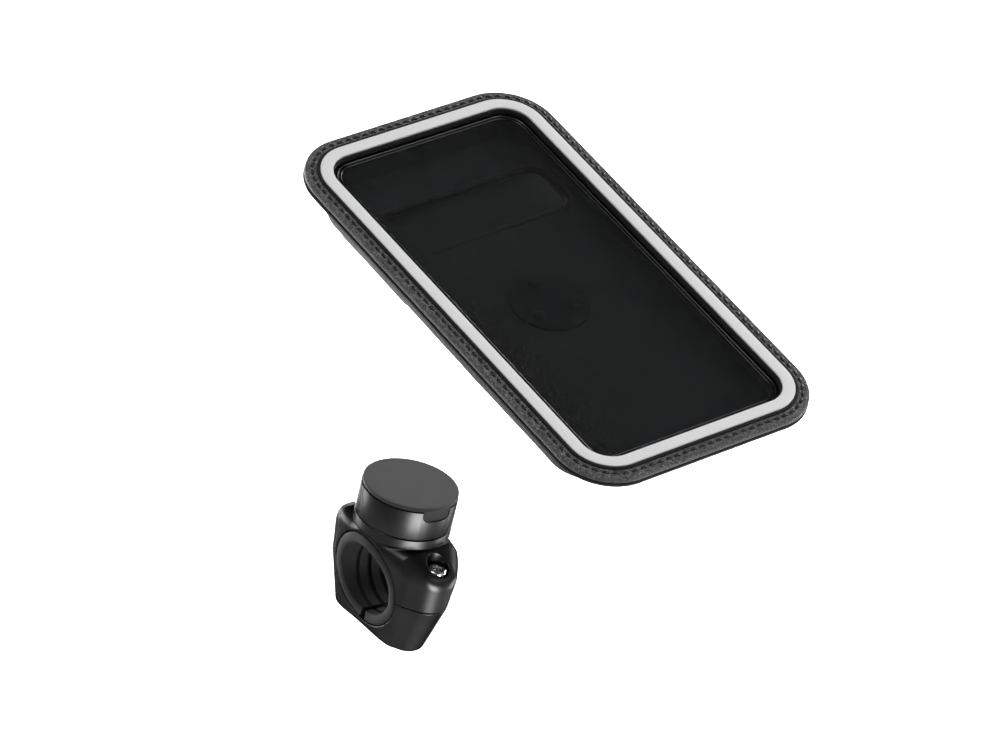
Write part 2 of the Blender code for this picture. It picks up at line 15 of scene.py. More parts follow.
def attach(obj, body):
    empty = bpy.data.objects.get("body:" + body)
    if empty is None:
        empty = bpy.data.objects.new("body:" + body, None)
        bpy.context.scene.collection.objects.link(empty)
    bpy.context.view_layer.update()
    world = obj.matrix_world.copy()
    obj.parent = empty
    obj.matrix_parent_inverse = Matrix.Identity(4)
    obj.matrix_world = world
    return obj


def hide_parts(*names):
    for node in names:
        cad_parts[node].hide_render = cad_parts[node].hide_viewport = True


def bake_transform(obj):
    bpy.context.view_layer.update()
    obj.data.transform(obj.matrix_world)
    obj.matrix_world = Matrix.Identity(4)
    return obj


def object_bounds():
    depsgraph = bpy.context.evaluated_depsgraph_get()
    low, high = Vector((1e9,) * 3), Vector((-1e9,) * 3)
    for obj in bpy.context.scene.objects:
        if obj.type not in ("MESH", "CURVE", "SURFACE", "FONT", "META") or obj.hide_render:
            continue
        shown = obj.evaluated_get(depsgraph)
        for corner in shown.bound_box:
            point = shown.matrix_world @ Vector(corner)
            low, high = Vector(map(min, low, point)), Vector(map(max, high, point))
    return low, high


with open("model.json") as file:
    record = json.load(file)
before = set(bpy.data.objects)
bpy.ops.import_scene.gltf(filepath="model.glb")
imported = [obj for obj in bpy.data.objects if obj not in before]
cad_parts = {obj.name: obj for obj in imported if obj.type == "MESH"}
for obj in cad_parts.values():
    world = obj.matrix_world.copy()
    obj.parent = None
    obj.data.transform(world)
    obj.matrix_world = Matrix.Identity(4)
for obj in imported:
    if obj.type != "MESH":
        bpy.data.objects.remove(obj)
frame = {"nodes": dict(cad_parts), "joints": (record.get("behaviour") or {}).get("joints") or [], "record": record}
CAD_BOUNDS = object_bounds()
MM = 0.001
GAP = 0.3  # clearance between pieces that touch

# Camera, in metres in the row frame
CAMERA_PLACE = (-1.1387, -1.2478, 0.9756)
CAMERA_FORWARD = (0.60363, 0.64614, -0.46706)
CAMERA_RIGHT = (0.785, -0.583, 0.208)
CAMERA_BEARING = atan2(CAMERA_PLACE[1], CAMERA_PLACE[0])  # the camera's direction from the object
LENS = 207.27
SENSOR = 36.0
FLOOR_DROP = 0.30  # the floor lies this far under the object

# Clamp
BORE_RADIUS = 16.8
LINER_OUTER = 16.5
LINER_INNER = 12.9
LINER_SPLIT = 2.5
LINER_LIP = 0.45
LINER_GROOVES = (5.0, 0.0, -5.0)
LINER_GROOVE_DEPTH = 0.45
SIDE_AT_AXIS = 12.0
SIDE_TAPER = 0.1876
FLANKS = {  # each end's shoulder, where the side turns to the screw boss's flank
    -1: {"shoulder": 17.0, "lean": 0.05, "widening": 0.0, "taper": 0.06, "edge": 7.0},
    1: {"shoulder": 18.6, "lean": 0.03, "widening": 1.0, "taper": 0.10, "edge": 5.0},
}
SHOULDER_LEAN_BELOW = 0.18  # how the shoulder and the nose move in below the bar's axis
NOSE = 26.7
NOSE_HALF_WIDTH = 4.0
NOSE_LEAN_ABOVE = 0.09
NOSE_LEAN_BELOW = 0.335
JAW_BOTTOM = -19.8
JAW_EDGE = 2.0
SHOULDER = 19.0
SLOPE_START = 16.5
SLOPE = 0.58
SCREW_Y = 21.3
COUNTERBORE_RADIUS = 4.0
COUNTERBORE_FLOOR = 10.5
SHAFT_RADIUS = 2.0
SHAFT_HOLE_RADIUS = 2.3
SCREW_TIP = -7.0
SCREW_HEAD_RADIUS = 3.4
SCREW_HEAD_HEIGHT = 4.0
EDGE_AT_NECK = 1.0  # radius of the saddle's top edge beside the neck, and at the boss's nose
EDGE_AT_NOSE = 3.4
SPINE_END = 20.0  # the saddle's outline shrinks towards a line this long, each way from the middle
JAW_SPINE_END = 12.0
CLAMP_VOXEL = 0.24
CLAMP_SMOOTHING = 6

# Head
HEAD_Y = 1.0
HEAD_RADIUS = 16.7
NECK_BOTTOM = 18.2
NECK_TOP = 22.55
CUP_TOP = 33.4
CUP_FLOOR = 3.0
CUP_WALL = 2.1
PAD_TOP = 35.1
PAD_RADIUS = 16.5
TONGUE_HALF_WIDTH = 5.5
TONGUE_BOTTOM = 30.0
TONGUE_THICKNESS = 0.8
TONGUE_CORNER = 2.6

# Pouch: x across, y along, z out of the window, 0 on the border's face
BORDER_WIDTH = 90.5
BORDER_LENGTH = 168.6
BORDER_BAND = 4.4
BORDER_CORNER = 14.5
RIM_MARGIN = 5.2
RIM_GAP = 1.1  # the gap between the raised border and the rim's cloth, filled by a black edging as painted shadow
STITCH_INSET = 2.6
STITCH_PITCH = 3.5
STITCH_LENGTH = 2.6
STITCH_RADIUS = 0.54
STITCH_SLANT = radians(8.0)
RIM_TOP = -1.1
RIM_BOTTOM = -2.6
FILM_TOP = -2.9
FILM_BOTTOM = -3.3
FILM_MARGIN = 2.0
BACKING_TOP = -3.6
BACKING_BOTTOM = -4.8
BACK_WIDTH = 94.0
BACK_LENGTH = 163.5
BACK_WALL = 2.0
BACK_FACE = -14.3
BACK_FLOOR = 1.7
BACK_POINTS = 420  # points in each ring of the back
SLOT_HALF_WIDTH = 39.5
SLOT_FROM = 38.0
SLOT_TO = 60.0
SLOT_CORNER = 6.0
FLAP_HINGE_Y = 66.0
FLAP_HALF_WIDTH = 42.0
FLAP_END = 20.5
FLAP_THICKNESS = 1.2
ANCHOR_WIDTH = 3.4
STRIP_FROM = 24.0
STRIP_TO = 34.0
STRIP_HALF_WIDTH = 34.0
STRIP_THICKNESS = 0.6
TAB_WIDTH = 14.0
TAB_FROM = 17.4
TAB_TO = 27.0

# Puck
PUCK_RADIUS = 16.0
PUCK_FACE = -19.6
PUCK_PLATE = 1.4
RIVET_CIRCLE = 9.0
RIVET_HOLE_RADIUS = 1.5
CUT_FROM = -25.0  # cutters through the pouch's back reach between these heights
CUT_TO = -9.0


# ---------------------------------------------------------------- frames


def named(items, name):
    return next(item for item in items if item["name"] == name)


def pouch_matrix():
    """The pouch's frame, from its puck's face and its flap's hinge."""
    puck = named(frame["record"]["mounts"], "puck_face")
    out = -Vector(puck["axis"]).normalized()
    hinge = Vector(named(frame["joints"], "flap_open")["axis"])
    across = (hinge - out * hinge.dot(out)).normalized()
    along = out.cross(across)
    origin = Vector(puck["pos_m"]) - out * PUCK_FACE * MM
    made = Matrix((across, along, out)).transposed().to_4x4()
    made.translation = origin
    return made


def along_bicycle(y):
    return Matrix.Translation(Vector((0.0, y, 0.0)) * MM)


POUCH = pouch_matrix()
FRAMES = {
    "clamp": Matrix.Identity(4),
    "jaw": Matrix.Identity(4),
    "rear_screw": along_bicycle(-SCREW_Y),
    "front_screw": along_bicycle(SCREW_Y),
    "head": along_bicycle(HEAD_Y),
    "pouch": POUCH,
    "flap": POUCH,
}


# ---------------------------------------------------------------- mesh helpers


def new_object(name, mesh):
    made = bpy.data.objects.new(name, mesh)
    bpy.context.scene.collection.objects.link(made)
    return made


def mesh_object(name, points, faces, sharp=35.0):
    """An object from points and faces in millimetres, its faces pointing out."""
    mesh = bpy.data.meshes.new(name)
    mesh.from_pydata([Vector(p) for p in points], [], faces)
    shape = bmesh.new()
    shape.from_mesh(mesh)
    bmesh.ops.remove_doubles(shape, verts=shape.verts, dist=1e-4)
    bmesh.ops.recalc_face_normals(shape, faces=shape.faces)
    shape.to_mesh(mesh)
    shape.free()
    made = new_object(name, mesh)
    smooth(made, sharp)
    return made


def smooth(made, sharp):
    """Shades a body smoothly, apart from edges sharper than an angle."""
    made.data.shade_smooth()
    made.data.set_sharp_from_angle(angle=radians(sharp))


def loft(name, rings, closed_loop=False, sharp=35.0):
    """A closed body through rings of points. The first and last rings are capped or joined."""
    count = len(rings[0])
    points = [p for ring in rings for p in ring]
    pairs = [(i, i + 1) for i in range(len(rings) - 1)]
    faces = []
    if closed_loop:
        pairs.append((len(rings) - 1, 0))
    else:
        faces += [tuple(range(count)), tuple(range(len(points) - count, len(points)))]
    for low, high in pairs:
        for i in range(count):
            j = (i + 1) % count
            faces.append((low * count + i, low * count + j, high * count + j, high * count + i))
    return mesh_object(name, points, faces, sharp)


def circle(radius, z, centre=(0.0, 0.0), steps=96):
    return [
        (centre[0] + radius * cos(2 * pi * i / steps), centre[1] + radius * sin(2 * pi * i / steps), z)
        for i in range(steps)
    ]


def turned(profile, centre=(0.0, 0.0), steps=96):
    return [circle(radius, z, centre, steps) for radius, z in profile]


def settle(made):
    """Applies an object's modifiers."""
    graph = bpy.context.evaluated_depsgraph_get()
    mesh = bpy.data.meshes.new_from_object(made.evaluated_get(graph))
    made.modifiers.clear()
    made.data = mesh


def boolean(target, others, operation="DIFFERENCE"):
    """Cuts other objects out of a target, or joins them to it, and removes them."""
    for other in others:
        step = target.modifiers.new(other.name, "BOOLEAN")
        step.operation = operation
        step.solver = "EXACT"
        step.object = other
        settle(target)
        bpy.data.objects.remove(other)


def soften(made):
    """Remeshes a clamp body evenly and smooths it, which rounds every edge a little."""
    even = made.modifiers.new("even", "REMESH")
    even.mode = "VOXEL"
    even.voxel_size = CLAMP_VOXEL
    even.use_smooth_shade = True
    rounded = made.modifiers.new("round", "SMOOTH")
    rounded.factor = 0.5
    rounded.iterations = CLAMP_SMOOTHING
    settle(made)
    made.data.shade_smooth()


def bevel(made, width, angle):
    step = made.modifiers.new("edge", "BEVEL")
    step.width = width
    step.segments = 2
    step.limit_method = "ANGLE"
    step.angle_limit = radians(angle)
    settle(made)
    smooth(made, 50)


def place(made, body, slot, replaces=(), finish=None):
    """Turns a piece built in millimetres into metres, in its body's frame, and hands it over.
    Its finish is its slot's, unless another is named."""
    made.data.transform(Matrix.Scale(MM, 4))
    made.matrix_world = FRAMES[body]
    made.data.materials.clear()
    made.data.materials.append(FINISHES[finish or slot])
    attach(made, body)
    if replaces:
        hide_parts(*replaces)


def between(a, b, share):
    return a + (b - a) * share


def smooth_step(share):
    share = max(0.0, min(1.0, share))
    return share * share * (3 - 2 * share)


def corner_point(start, corner, end, step):
    """A point on the rounded corner between two straight sides, with step from 0 to 1."""
    return tuple(
        (1 - step) ** 2 * a + 2 * step * (1 - step) * b + step**2 * c
        for a, b, c in zip(start, corner, end)
    )


class Outline:
    """A rounded rectangle that can be read at any distance along it."""

    def __init__(self, width, length, corner, centre_y=0.0):
        corner = max(1.0, corner)
        self.half = (width / 2 - corner, length / 2 - corner)
        self.corner = corner
        self.centre_y = centre_y
        self.arc = pi / 2 * corner
        self.around = 4 * (self.half[0] + self.half[1]) + 4 * self.arc

    def at(self, distance):
        """(x, y, outward x, outward y) at a distance, from the right side's lower end, turning left."""
        distance %= self.around
        across, along = self.half
        for turn in range(4):
            side = 2 * (along if turn % 2 == 0 else across)
            reach = across if turn % 2 == 0 else along
            angle = pi / 2 * turn
            if distance <= side:
                local = (reach + self.corner, -side / 2 + distance)
                return self.turn(local, (1.0, 0.0), angle)
            distance -= side
            if distance <= self.arc:
                bend = distance / self.corner
                local = (reach + self.corner * cos(bend), side / 2 + self.corner * sin(bend))
                return self.turn(local, (cos(bend), sin(bend)), angle)
            distance -= self.arc
        return self.at(0.0)

    def turn(self, point, outward, angle):
        c, s = cos(angle), sin(angle)
        return (
            point[0] * c - point[1] * s,
            point[0] * s + point[1] * c + self.centre_y,
            outward[0] * c - outward[1] * s,
            outward[0] * s + outward[1] * c,
        )


def swept(name, outline, section_at, spacing, sharp=60.0):
    """A closed band round an outline. section_at(distance) gives its (outwards, z) section."""
    count = round(outline.around / spacing)
    rings = []
    for step in range(count):
        distance = outline.around * step / count
        x, y, out_x, out_y = outline.at(distance)
        rings.append([(x + out * out_x, y + out * out_y, z) for out, z in section_at(distance)])
    return loft(name, rings, closed_loop=True, sharp=sharp)


def ring_of(outline, z, count):
    """Points round an outline at one height."""
    places = (outline.at(outline.around * step / count) for step in range(count))
    return [(x, y, z) for x, y, _, _ in places]


def rounded_box_section(inner, outer, bottom, top, radius, steps=4):
    """A rectangle section with rounded corners, as (outwards, z) points."""
    points = []
    for quarter, (out, z) in enumerate(
        (
            (outer - radius, top - radius),
            (inner + radius, top - radius),
            (inner + radius, bottom + radius),
            (outer - radius, bottom + radius),
        )
    ):
        for step in range(steps + 1):
            angle = pi / 2 * (quarter + step / steps)
            points.append((out + radius * cos(angle), z + radius * sin(angle)))
    return points


# ---------------------------------------------------------------- materials


def rgb(colour):
    """A colour as it is, or a grey from one number."""
    return (colour,) * 3 if isinstance(colour, float) else colour


class Finish:
    """A Principled material, with short ways to add nodes to it."""

    def __init__(self, name, colour, **constants):
        self.material = bpy.data.materials.new(name)
        self.material.use_nodes = True
        self.tree = self.material.node_tree
        self.shader = self.tree.nodes["Principled BSDF"]
        self.shader.inputs["Base Color"].default_value = (*rgb(colour), 1.0)
        for socket, value in constants.items():
            self.shader.inputs[socket.replace("_", " ")].default_value = value
        self.place = self.node("ShaderNodeTexCoord").outputs["Object"]

    def node(self, kind, inputs=(), **settings):
        made = self.tree.nodes.new(kind)
        for key, value in settings.items():
            setattr(made, key, value)
        for key, value in dict(inputs).items():
            if isinstance(value, bpy.types.NodeSocket):
                self.tree.links.new(value, made.inputs[key])
            else:
                made.inputs[key].default_value = value
        return made

    def stretched(self, scale, turn=(0.0, 0.0, 0.0)):
        """The object's coordinates, turned and then scaled."""
        turned_place = self.node("ShaderNodeMapping", {"Vector": self.place, "Rotation": turn})
        return self.node(
            "ShaderNodeMapping", {"Vector": turned_place.outputs[0], "Scale": scale}
        ).outputs[0]

    def noise(self, size_mm, detail=2.0, roughness=0.5, vector=None):
        inputs = {
            "Vector": vector or self.place,
            "Scale": 1 / (size_mm * MM),
            "Detail": detail,
            "Roughness": roughness,
        }
        return self.node("ShaderNodeTexNoise", inputs).outputs[0]

    def cells(self, size_mm, feature="F1", vector=None):
        inputs = {"Vector": vector or self.place, "Scale": 1 / (size_mm * MM)}
        made = self.node("ShaderNodeTexVoronoi", inputs, feature=feature)
        return made.outputs["Distance"]

    def bands(self, pitch_mm, turn=(0.0, 0.0, 0.0), distortion=0.0):
        """Waves from 0 to 1 across the x axis after a turn, one every pitch."""
        inputs = {
            "Vector": self.stretched((1.0, 1.0, 1.0), turn),
            "Scale": 1 / (pitch_mm * MM) / 20 * 2 * pi,
            "Distortion": distortion,
            "Detail": 1.0,
        }
        made = self.node("ShaderNodeTexWave", inputs, wave_type="BANDS", bands_direction="X")
        return made.outputs["Fac"]

    def math(self, operation, a, b=0.5):
        return self.node("ShaderNodeMath", {0: a, 1: b}, operation=operation).outputs[0]

    def blend(self, a, share_a, b, share_b):
        """Two values added in shares."""
        return self.math("ADD", self.math("MULTIPLY", a, share_a), self.math("MULTIPLY", b, share_b))

    def ramp(self, value, stops):
        """A colour or grey ramp from (place, value) stops."""
        made = self.node("ShaderNodeValToRGB", {0: value})
        made.color_ramp.elements.remove(made.color_ramp.elements[1])
        for index, (where, colour) in enumerate(stops):
            if index:
                element = made.color_ramp.elements.new(where)
            else:
                element = made.color_ramp.elements[0]
                element.position = where
            element.color = (*rgb(colour), 1.0)
        return made.outputs[0]

    def spread(self, value, low, high):
        """A value from 0 to 1 mapped to a range."""
        made = self.node("ShaderNodeMapRange", {"Value": value, "To Min": low, "To Max": high})
        return made.outputs[0]

    def bump(self, height, depth_mm, strength=1.0):
        inputs = {"Height": height, "Distance": depth_mm * MM, "Strength": strength}
        if self.shader.inputs["Normal"].is_linked:
            inputs["Normal"] = self.shader.inputs["Normal"].links[0].from_socket
        self.set("Normal", self.node("ShaderNodeBump", inputs).outputs[0])

    def set(self, socket, value):
        self.tree.links.new(value, self.shader.inputs[socket])

    def tint(self, value, *stops):
        self.set("Base Color", self.ramp(value, stops))

    def rough(self, value, low, high):
        self.set("Roughness", self.spread(value, low, high))


def alloy_finish():
    """Satin black anodised alloy, finely blasted. Its reflection stays dark towards the edges."""
    made = Finish("black_alloy", 0.040, Metallic=1.0, Specular_Tint=(0.3, 0.3, 0.3, 1.0))
    grain = made.noise(0.16, 3.0, 0.6)
    cloud = made.noise(9.0, 3.0)
    mixed = made.blend(grain, 0.5, cloud, 0.5)
    made.tint(cloud, (0.3, 0.034), (0.7, 0.042))
    made.rough(mixed, 0.30, 0.40)
    made.bump(grain, 0.02, 0.35)
    return made.material


def rubber_finish(name, dark, pale, grain_mm, roughness, gloss, side=1.0):
    """Moulded rubber with a fine grain and a faint dusty bloom. Its upright sides can be painted darker than its
    top, as painted shade.
    """
    made = Finish(name, dark, Specular_IOR_Level=gloss)
    grain = made.noise(grain_mm, 3.0, 0.65)
    cloud = made.noise(6.0, 3.0)
    mixed = made.blend(grain, 0.6, cloud, 0.4)
    # Painted shade: the tone is multiplied by side on upright faces and kept whole on flat ones.
    normal = made.node("ShaderNodeNewGeometry").outputs["Normal"]
    upright = made.node("ShaderNodeSeparateXYZ", {0: normal}).outputs["Z"]
    painted_side_shade = made.spread(made.math("ABSOLUTE", upright), side, 1.0)
    tone = made.ramp(mixed, ((0.3, dark), (0.7, pale)))
    tone_with_painted_shade = made.node("ShaderNodeVectorMath", {0: tone, 1: painted_side_shade}, operation="MULTIPLY")
    made.set("Base Color", tone_with_painted_shade.outputs[0])
    made.rough(cloud, roughness - 0.06, roughness + 0.06)
    made.bump(grain, 0.05, 0.5)
    return made.material


def steel_finish(name, colour, roughness, turned_mm=0.12):
    """Machined steel: fine turning marks and faint stains."""
    made = Finish(name, colour, Metallic=1.0)
    streaks = made.noise(turned_mm, 2.0, 0.6, made.stretched((1.0, 1.0, 6.0)))
    cloud = made.noise(1.6, 3.0)
    pale = tuple(min(1.0, c * 1.08) for c in colour)
    dim = tuple(c * 0.8 for c in colour)
    made.tint(cloud, (0.3, dim), (0.7, pale))
    made.rough(streaks, roughness - 0.07, roughness + 0.1)
    made.bump(streaks, 0.01, 0.3)
    return made.material


def rim_finish():
    """Heathered grey cloth: pale and dark yarns in a fine slanted weave."""
    sheen = {"Sheen_Weight": 0.25, "Sheen_Roughness": 0.5}
    made = Finish("heather_cloth", 0.08, Specular_IOR_Level=0.25, **sheen)
    slant = (0.0, 0.0, radians(35))
    yarns = made.noise(0.42, 3.0, 0.62, made.stretched((1.0, 0.45, 1.0), slant))
    across = made.noise(0.55, 2.0, 0.6, made.stretched((0.4, 1.0, 1.0), slant))
    cloud = made.noise(4.0, 2.0)
    weave = made.math("MULTIPLY", made.bands(0.42, slant), made.bands(0.42, (0.0, 0.0, radians(-55))))
    mixed = made.blend(yarns, 0.55, across, 0.35)
    mixed = made.math("ADD", mixed, made.math("MULTIPLY", cloud, 0.1))
    colour = made.ramp(mixed, ((0.36, 0.014), (0.46, 0.058), (0.55, 0.12), (0.66, 0.33)))
    made.set("Base Color", colour)
    made.rough(yarns, 0.72, 0.95)
    made.bump(made.math("ADD", made.math("MULTIPLY", weave, 0.5), mixed), 0.14, 0.9)
    return made.material


def knit_finish(name, dark, pale, pitch, roughness=0.85, sheen=0.12):
    """Smooth stretch fabric with fine knitted ribs."""
    made = Finish(name, dark, Specular_IOR_Level=0.25, Sheen_Weight=sheen, Sheen_Roughness=0.4)
    ribs = made.bands(pitch, (0.0, 0.0, 0.0), 1.2)
    courses = made.bands(pitch * 0.8, (0.0, 0.0, radians(90)), 1.2)
    loops = made.math("MULTIPLY", ribs, courses)
    cloud = made.noise(5.0, 3.0)
    mixed = made.blend(loops, 0.5, cloud, 0.5)
    made.tint(mixed, (0.2, dark), (0.75, pale))
    made.rough(cloud, roughness - 0.07, roughness + 0.07)
    made.bump(loops, 0.06, 0.6)
    return made.material


def thread_finish():
    """Glossy black sewing thread, twisted from fine plies."""
    made = Finish("sewing_thread", 0.005, Specular_IOR_Level=0.4)
    plies = made.bands(0.28, (0.0, 0.0, radians(40)), 0.8)
    fuzz = made.noise(0.2, 2.0)
    made.tint(plies, (0.1, 0.002), (0.9, 0.008))
    made.rough(fuzz, 0.2, 0.36)
    made.bump(plies, 0.05, 0.5)
    return made.material


def tape_finish():
    """Pale reflective tape: a soft sheen over a very fine bead pattern."""
    made = Finish("reflective_tape", 0.83, Specular_IOR_Level=0.25)
    beads = made.cells(0.22)
    cloud = made.noise(14.0, 3.0)
    specks = made.noise(0.5, 3.0, 0.6)
    mixed = made.blend(beads, 0.25, cloud, 0.55)
    mixed = made.math("ADD", mixed, made.math("MULTIPLY", specks, 0.2))
    made.tint(mixed, (0.25, 0.81), (0.7, 0.86))
    made.rough(specks, 0.5, 0.65)
    made.bump(beads, 0.015, 0.3)
    return made.material


def film_finish():
    """Clear touch film: glossy, with faint smears in its gloss."""
    glass = {"Transmission_Weight": 1.0, "IOR": 1.33, "Roughness": 0.05, "Specular_IOR_Level": 0.5}
    made = Finish("touch_film", (0.86, 0.88, 0.89), **glass)
    smears = made.noise(9.0, 4.0, 0.6, made.stretched((1.0, 0.35, 1.0), (0.0, 0.0, radians(20))))
    made.set("Roughness", made.ramp(smears, ((0.4, 0.03), (0.75, 0.06))))
    return made.material


def hook_finish(name, size):
    """Hook-and-loop tape: a dense field of tiny dark ends."""
    made = Finish(name, 0.01, Specular_IOR_Level=0.4, Sheen_Weight=0.2)
    ends = made.cells(size)
    fuzz = made.noise(size * 0.6, 3.0, 0.7)
    mixed = made.blend(ends, 0.6, fuzz, 0.5)
    made.tint(mixed, (0.2, 0.02), (0.7, 0.004))
    made.rough(fuzz, 0.7, 0.95)
    made.bump(made.math("SUBTRACT", 1.0, mixed), 0.3, 0.9)
    return made.material


def plastic_finish():
    """Black moulded plastic with a fine spark-eroded grain."""
    made = Finish("moulded_plastic", 0.012, Specular_IOR_Level=0.45)
    grain = made.noise(0.25, 3.0, 0.6)
    cloud = made.noise(5.0, 3.0)
    made.tint(cloud, (0.3, 0.010), (0.7, 0.017))
    made.rough(grain, 0.38, 0.56)
    made.bump(grain, 0.04, 0.45)
    return made.material


def black_steel_finish():
    """Black-oxide steel, matt and a little patchy."""
    made = Finish("black_oxide_steel", 0.006, Specular_IOR_Level=0.2)
    cloud = made.noise(2.5, 3.0)
    made.tint(cloud, (0.3, 0.004), (0.7, 0.008))
    made.rough(cloud, 0.5, 0.7)
    made.bump(made.noise(0.3, 2.0), 0.02, 0.3)
    return made.material


def weld_finish():
    """Black plastic pressed smooth, with a slight ripple in its gloss."""
    made = Finish("weld_gloss", 0.004, Specular_IOR_Level=0.6)
    cloud = made.noise(3.0, 3.0)
    made.tint(cloud, (0.3, 0.003), (0.7, 0.006))
    made.rough(cloud, 0.16, 0.26)
    return made.material


FINISHES = {
    "clamp_alloy": alloy_finish(),
    "liner_rubber": rubber_finish("liner_rubber_grain", 0.012, 0.020, 0.35, 0.8, 0.12),
    "screw_steel": steel_finish("stainless_steel", (0.74, 0.74, 0.75), 0.2),
    "plate_steel": steel_finish("plain_steel", (0.5, 0.5, 0.51), 0.38, 0.4),
    "black_steel": black_steel_finish(),
    "magnet_nickel": steel_finish("nickel_plate", (0.66, 0.63, 0.58), 0.2, 0.5),
    # The pad's upright sides take painted shade, 0.4 of the tone of its top.
    "pad_rubber": rubber_finish("grip_rubber", 0.088, 0.108, 0.22, 0.9, 0.3, 0.4),
    "rim_fabric": rim_finish(),
    "thread": thread_finish(),
    "reflective_tape": tape_finish(),
    "clear_film": film_finish(),
    "back_fabric": knit_finish("stretch_fabric", 0.0095, 0.0165, 0.55),
    "weld": weld_finish(),
    "hook_tape": hook_finish("hook_tape", 0.6),
    "puck_plastic": plastic_finish(),
}


# ---------------------------------------------------------------- clamp

CORNER_STEPS = 14


def quarter_outline(z, end):
    """A quarter of the clamp body's outline at one height, from the middle of its side to the nose
    of the screw boss at one end: -1 is the rear, 1 the front. The side flares out under the neck."""
    flank = FLANKS[end]
    middle = SIDE_AT_AXIS + SIDE_TAPER * z
    side = SIDE_AT_AXIS + flank["widening"] + (SIDE_TAPER if z < 0 else flank["taper"]) * z
    shoulder_y = flank["shoulder"] + (SHOULDER_LEAN_BELOW if z < 0 else flank["lean"]) * z
    nose_half = NOSE_HALF_WIDTH + 0.05 * z
    nose_y = NOSE + (NOSE_LEAN_BELOW if z < 0 else NOSE_LEAN_ABOVE) * z

    def on_side(y):
        return (between(middle, side, (y / shoulder_y) ** 2), y)

    def on_flank(share):
        return (between(side, nose_half, share), between(shoulder_y, nose_y, share))

    points = [on_side(shoulder_y * 0.1 * step) for step in range(5)]
    start = on_side(shoulder_y * 0.5)
    corner = (side, shoulder_y)
    steps = range(CORNER_STEPS + 1)
    points += [corner_point(start, corner, on_flank(0.3), step / CORNER_STEPS) for step in steps]
    points += [on_flank(0.43), on_flank(0.56)]
    nose = (nose_half, nose_y)
    points += [corner_point(on_flank(0.68), nose, (0.0, nose_y), step / CORNER_STEPS) for step in steps]
    return points


OUTLINE_POINTS = len(quarter_outline(0.0, 1))


def side_face(y, z):
    """How far the clamp body reaches along X at a place on its side."""
    points = quarter_outline(z, 1 if y > 0 else -1)
    for (near_x, near_y), (far_x, far_y) in zip(points, points[1:]):
        if near_y <= abs(y) <= far_y:
            return between(near_x, far_x, (abs(y) - near_y) / (far_y - near_y))
    return points[-1][0]


def slope_height(y):
    """The height of the body's top, which slopes down along the screw bosses."""
    return SHOULDER - SLOPE * max(0.0, abs(y) - SLOPE_START)


def wall_point(index, end, z):
    x, y = quarter_outline(z, end)[index]
    return (x, y, z)


def top_corner(index, end):
    """Where the body's side would meet its top if the edge between them were sharp."""
    z = SHOULDER
    for _ in range(6):
        z = slope_height(quarter_outline(z, end)[index][1])
    return wall_point(index, end, z)


def edge_radius(y, end):
    """The top edge is tight beside the neck, broad at the shoulder and softer at the nose."""
    radius = between(EDGE_AT_NECK, FLANKS[end]["edge"], smooth_step((y - 2.0) / 8.0))
    return between(radius, EDGE_AT_NOSE, smooth_step((y - 19.0) / 7.0))


def towards_spine(point, keep, spine=SPINE_END):
    """A point moved towards the line along the body's middle, keeping a share of its distance."""
    x, y, z = point
    spine_y = min(y, spine)
    return (x * keep, between(spine_y, y, keep), z)


def inset(point, distance, spine=SPINE_END):
    x, y, _ = point
    reach = hypot(x, y - min(y, spine))
    return towards_spine(point, max(0.0, 1 - distance / reach), spine)


def on_top(point):
    x, y, _ = point
    return (x, y, slope_height(y))


def body_ring(point_at):
    """A ring round the clamp body from point_at(index, end), which gives its right-hand side."""
    last = OUTLINE_POINTS - 1
    front = [point_at(index, 1) for index in range(OUTLINE_POINTS)]
    rear = [point_at(index, -1) for index in range(OUTLINE_POINTS)]
    ring = list(front)
    ring += [(-x, y, z) for x, y, z in front[last - 1 :: -1]]
    ring += [(-x, -y, z) for x, y, z in rear[1:]]
    ring += [(x, -y, z) for x, y, z in rear[last - 1 : 0 : -1]]
    return ring


def saddle_rings():
    ends = {}
    for end in (-1, 1):
        for index in range(OUTLINE_POINTS):
            corner = top_corner(index, end)
            radius = edge_radius(corner[1], end)
            low = wall_point(index, end, corner[2] - radius)
            ends[index, end] = (low, corner, on_top(inset(corner, radius)))
    rings = []
    for step in range(15):

        def on_wall(index, end):
            return wall_point(index, end, between(GAP / 2, ends[index, end][0][2], step / 14))

        rings.append(body_ring(on_wall))
    for step in range(1, 11):
        rings.append(body_ring(lambda index, end: corner_point(*ends[index, end], step / 10)))
    for keep in (0.75, 0.5, 0.25, 0.05):
        rings.append(body_ring(lambda index, end: on_top(towards_spine(ends[index, end][2], keep))))
    return rings


def along_x(name, radius, half):
    steps = 128
    rings = [
        [(x, radius * cos(2 * pi * i / steps), radius * sin(2 * pi * i / steps)) for i in range(steps)]
        for x in (-half, half)
    ]
    return loft(name, rings)


def build_saddle():
    saddle = loft("clamp_saddle_body", saddle_rings())
    holes = []
    for end in (-1, 1):
        profile = [
            (SHAFT_HOLE_RADIUS, -2.0),
            (SHAFT_HOLE_RADIUS, COUNTERBORE_FLOOR),
            (COUNTERBORE_RADIUS, COUNTERBORE_FLOOR),
            (COUNTERBORE_RADIUS, 30.0),
        ]
        holes.append(loft("hole", turned(profile, (0.0, end * SCREW_Y), 64)))
    boolean(saddle, holes)
    neck = [
        (HEAD_RADIUS - 3.0, NECK_BOTTOM - 1.2),
        (HEAD_RADIUS - 0.9, NECK_BOTTOM),
        (HEAD_RADIUS - 0.35, NECK_BOTTOM + 0.25),
        (HEAD_RADIUS, NECK_BOTTOM + 1.0),
        (HEAD_RADIUS, NECK_TOP - 0.15),
        (HEAD_RADIUS - 0.15, NECK_TOP),
    ]
    boolean(saddle, [loft("neck", turned(neck, (0.0, HEAD_Y), 160))], "UNION")
    pivot = turned([(SHAFT_HOLE_RADIUS, 18.7), (SHAFT_HOLE_RADIUS, 30.0)], (0.0, HEAD_Y), 48)
    boolean(saddle, [along_x("bore", BORE_RADIUS, 30.0), loft("pivot", pivot)])
    soften(saddle)
    place(saddle, "clamp", "clamp_alloy", ["clamp_saddle"])


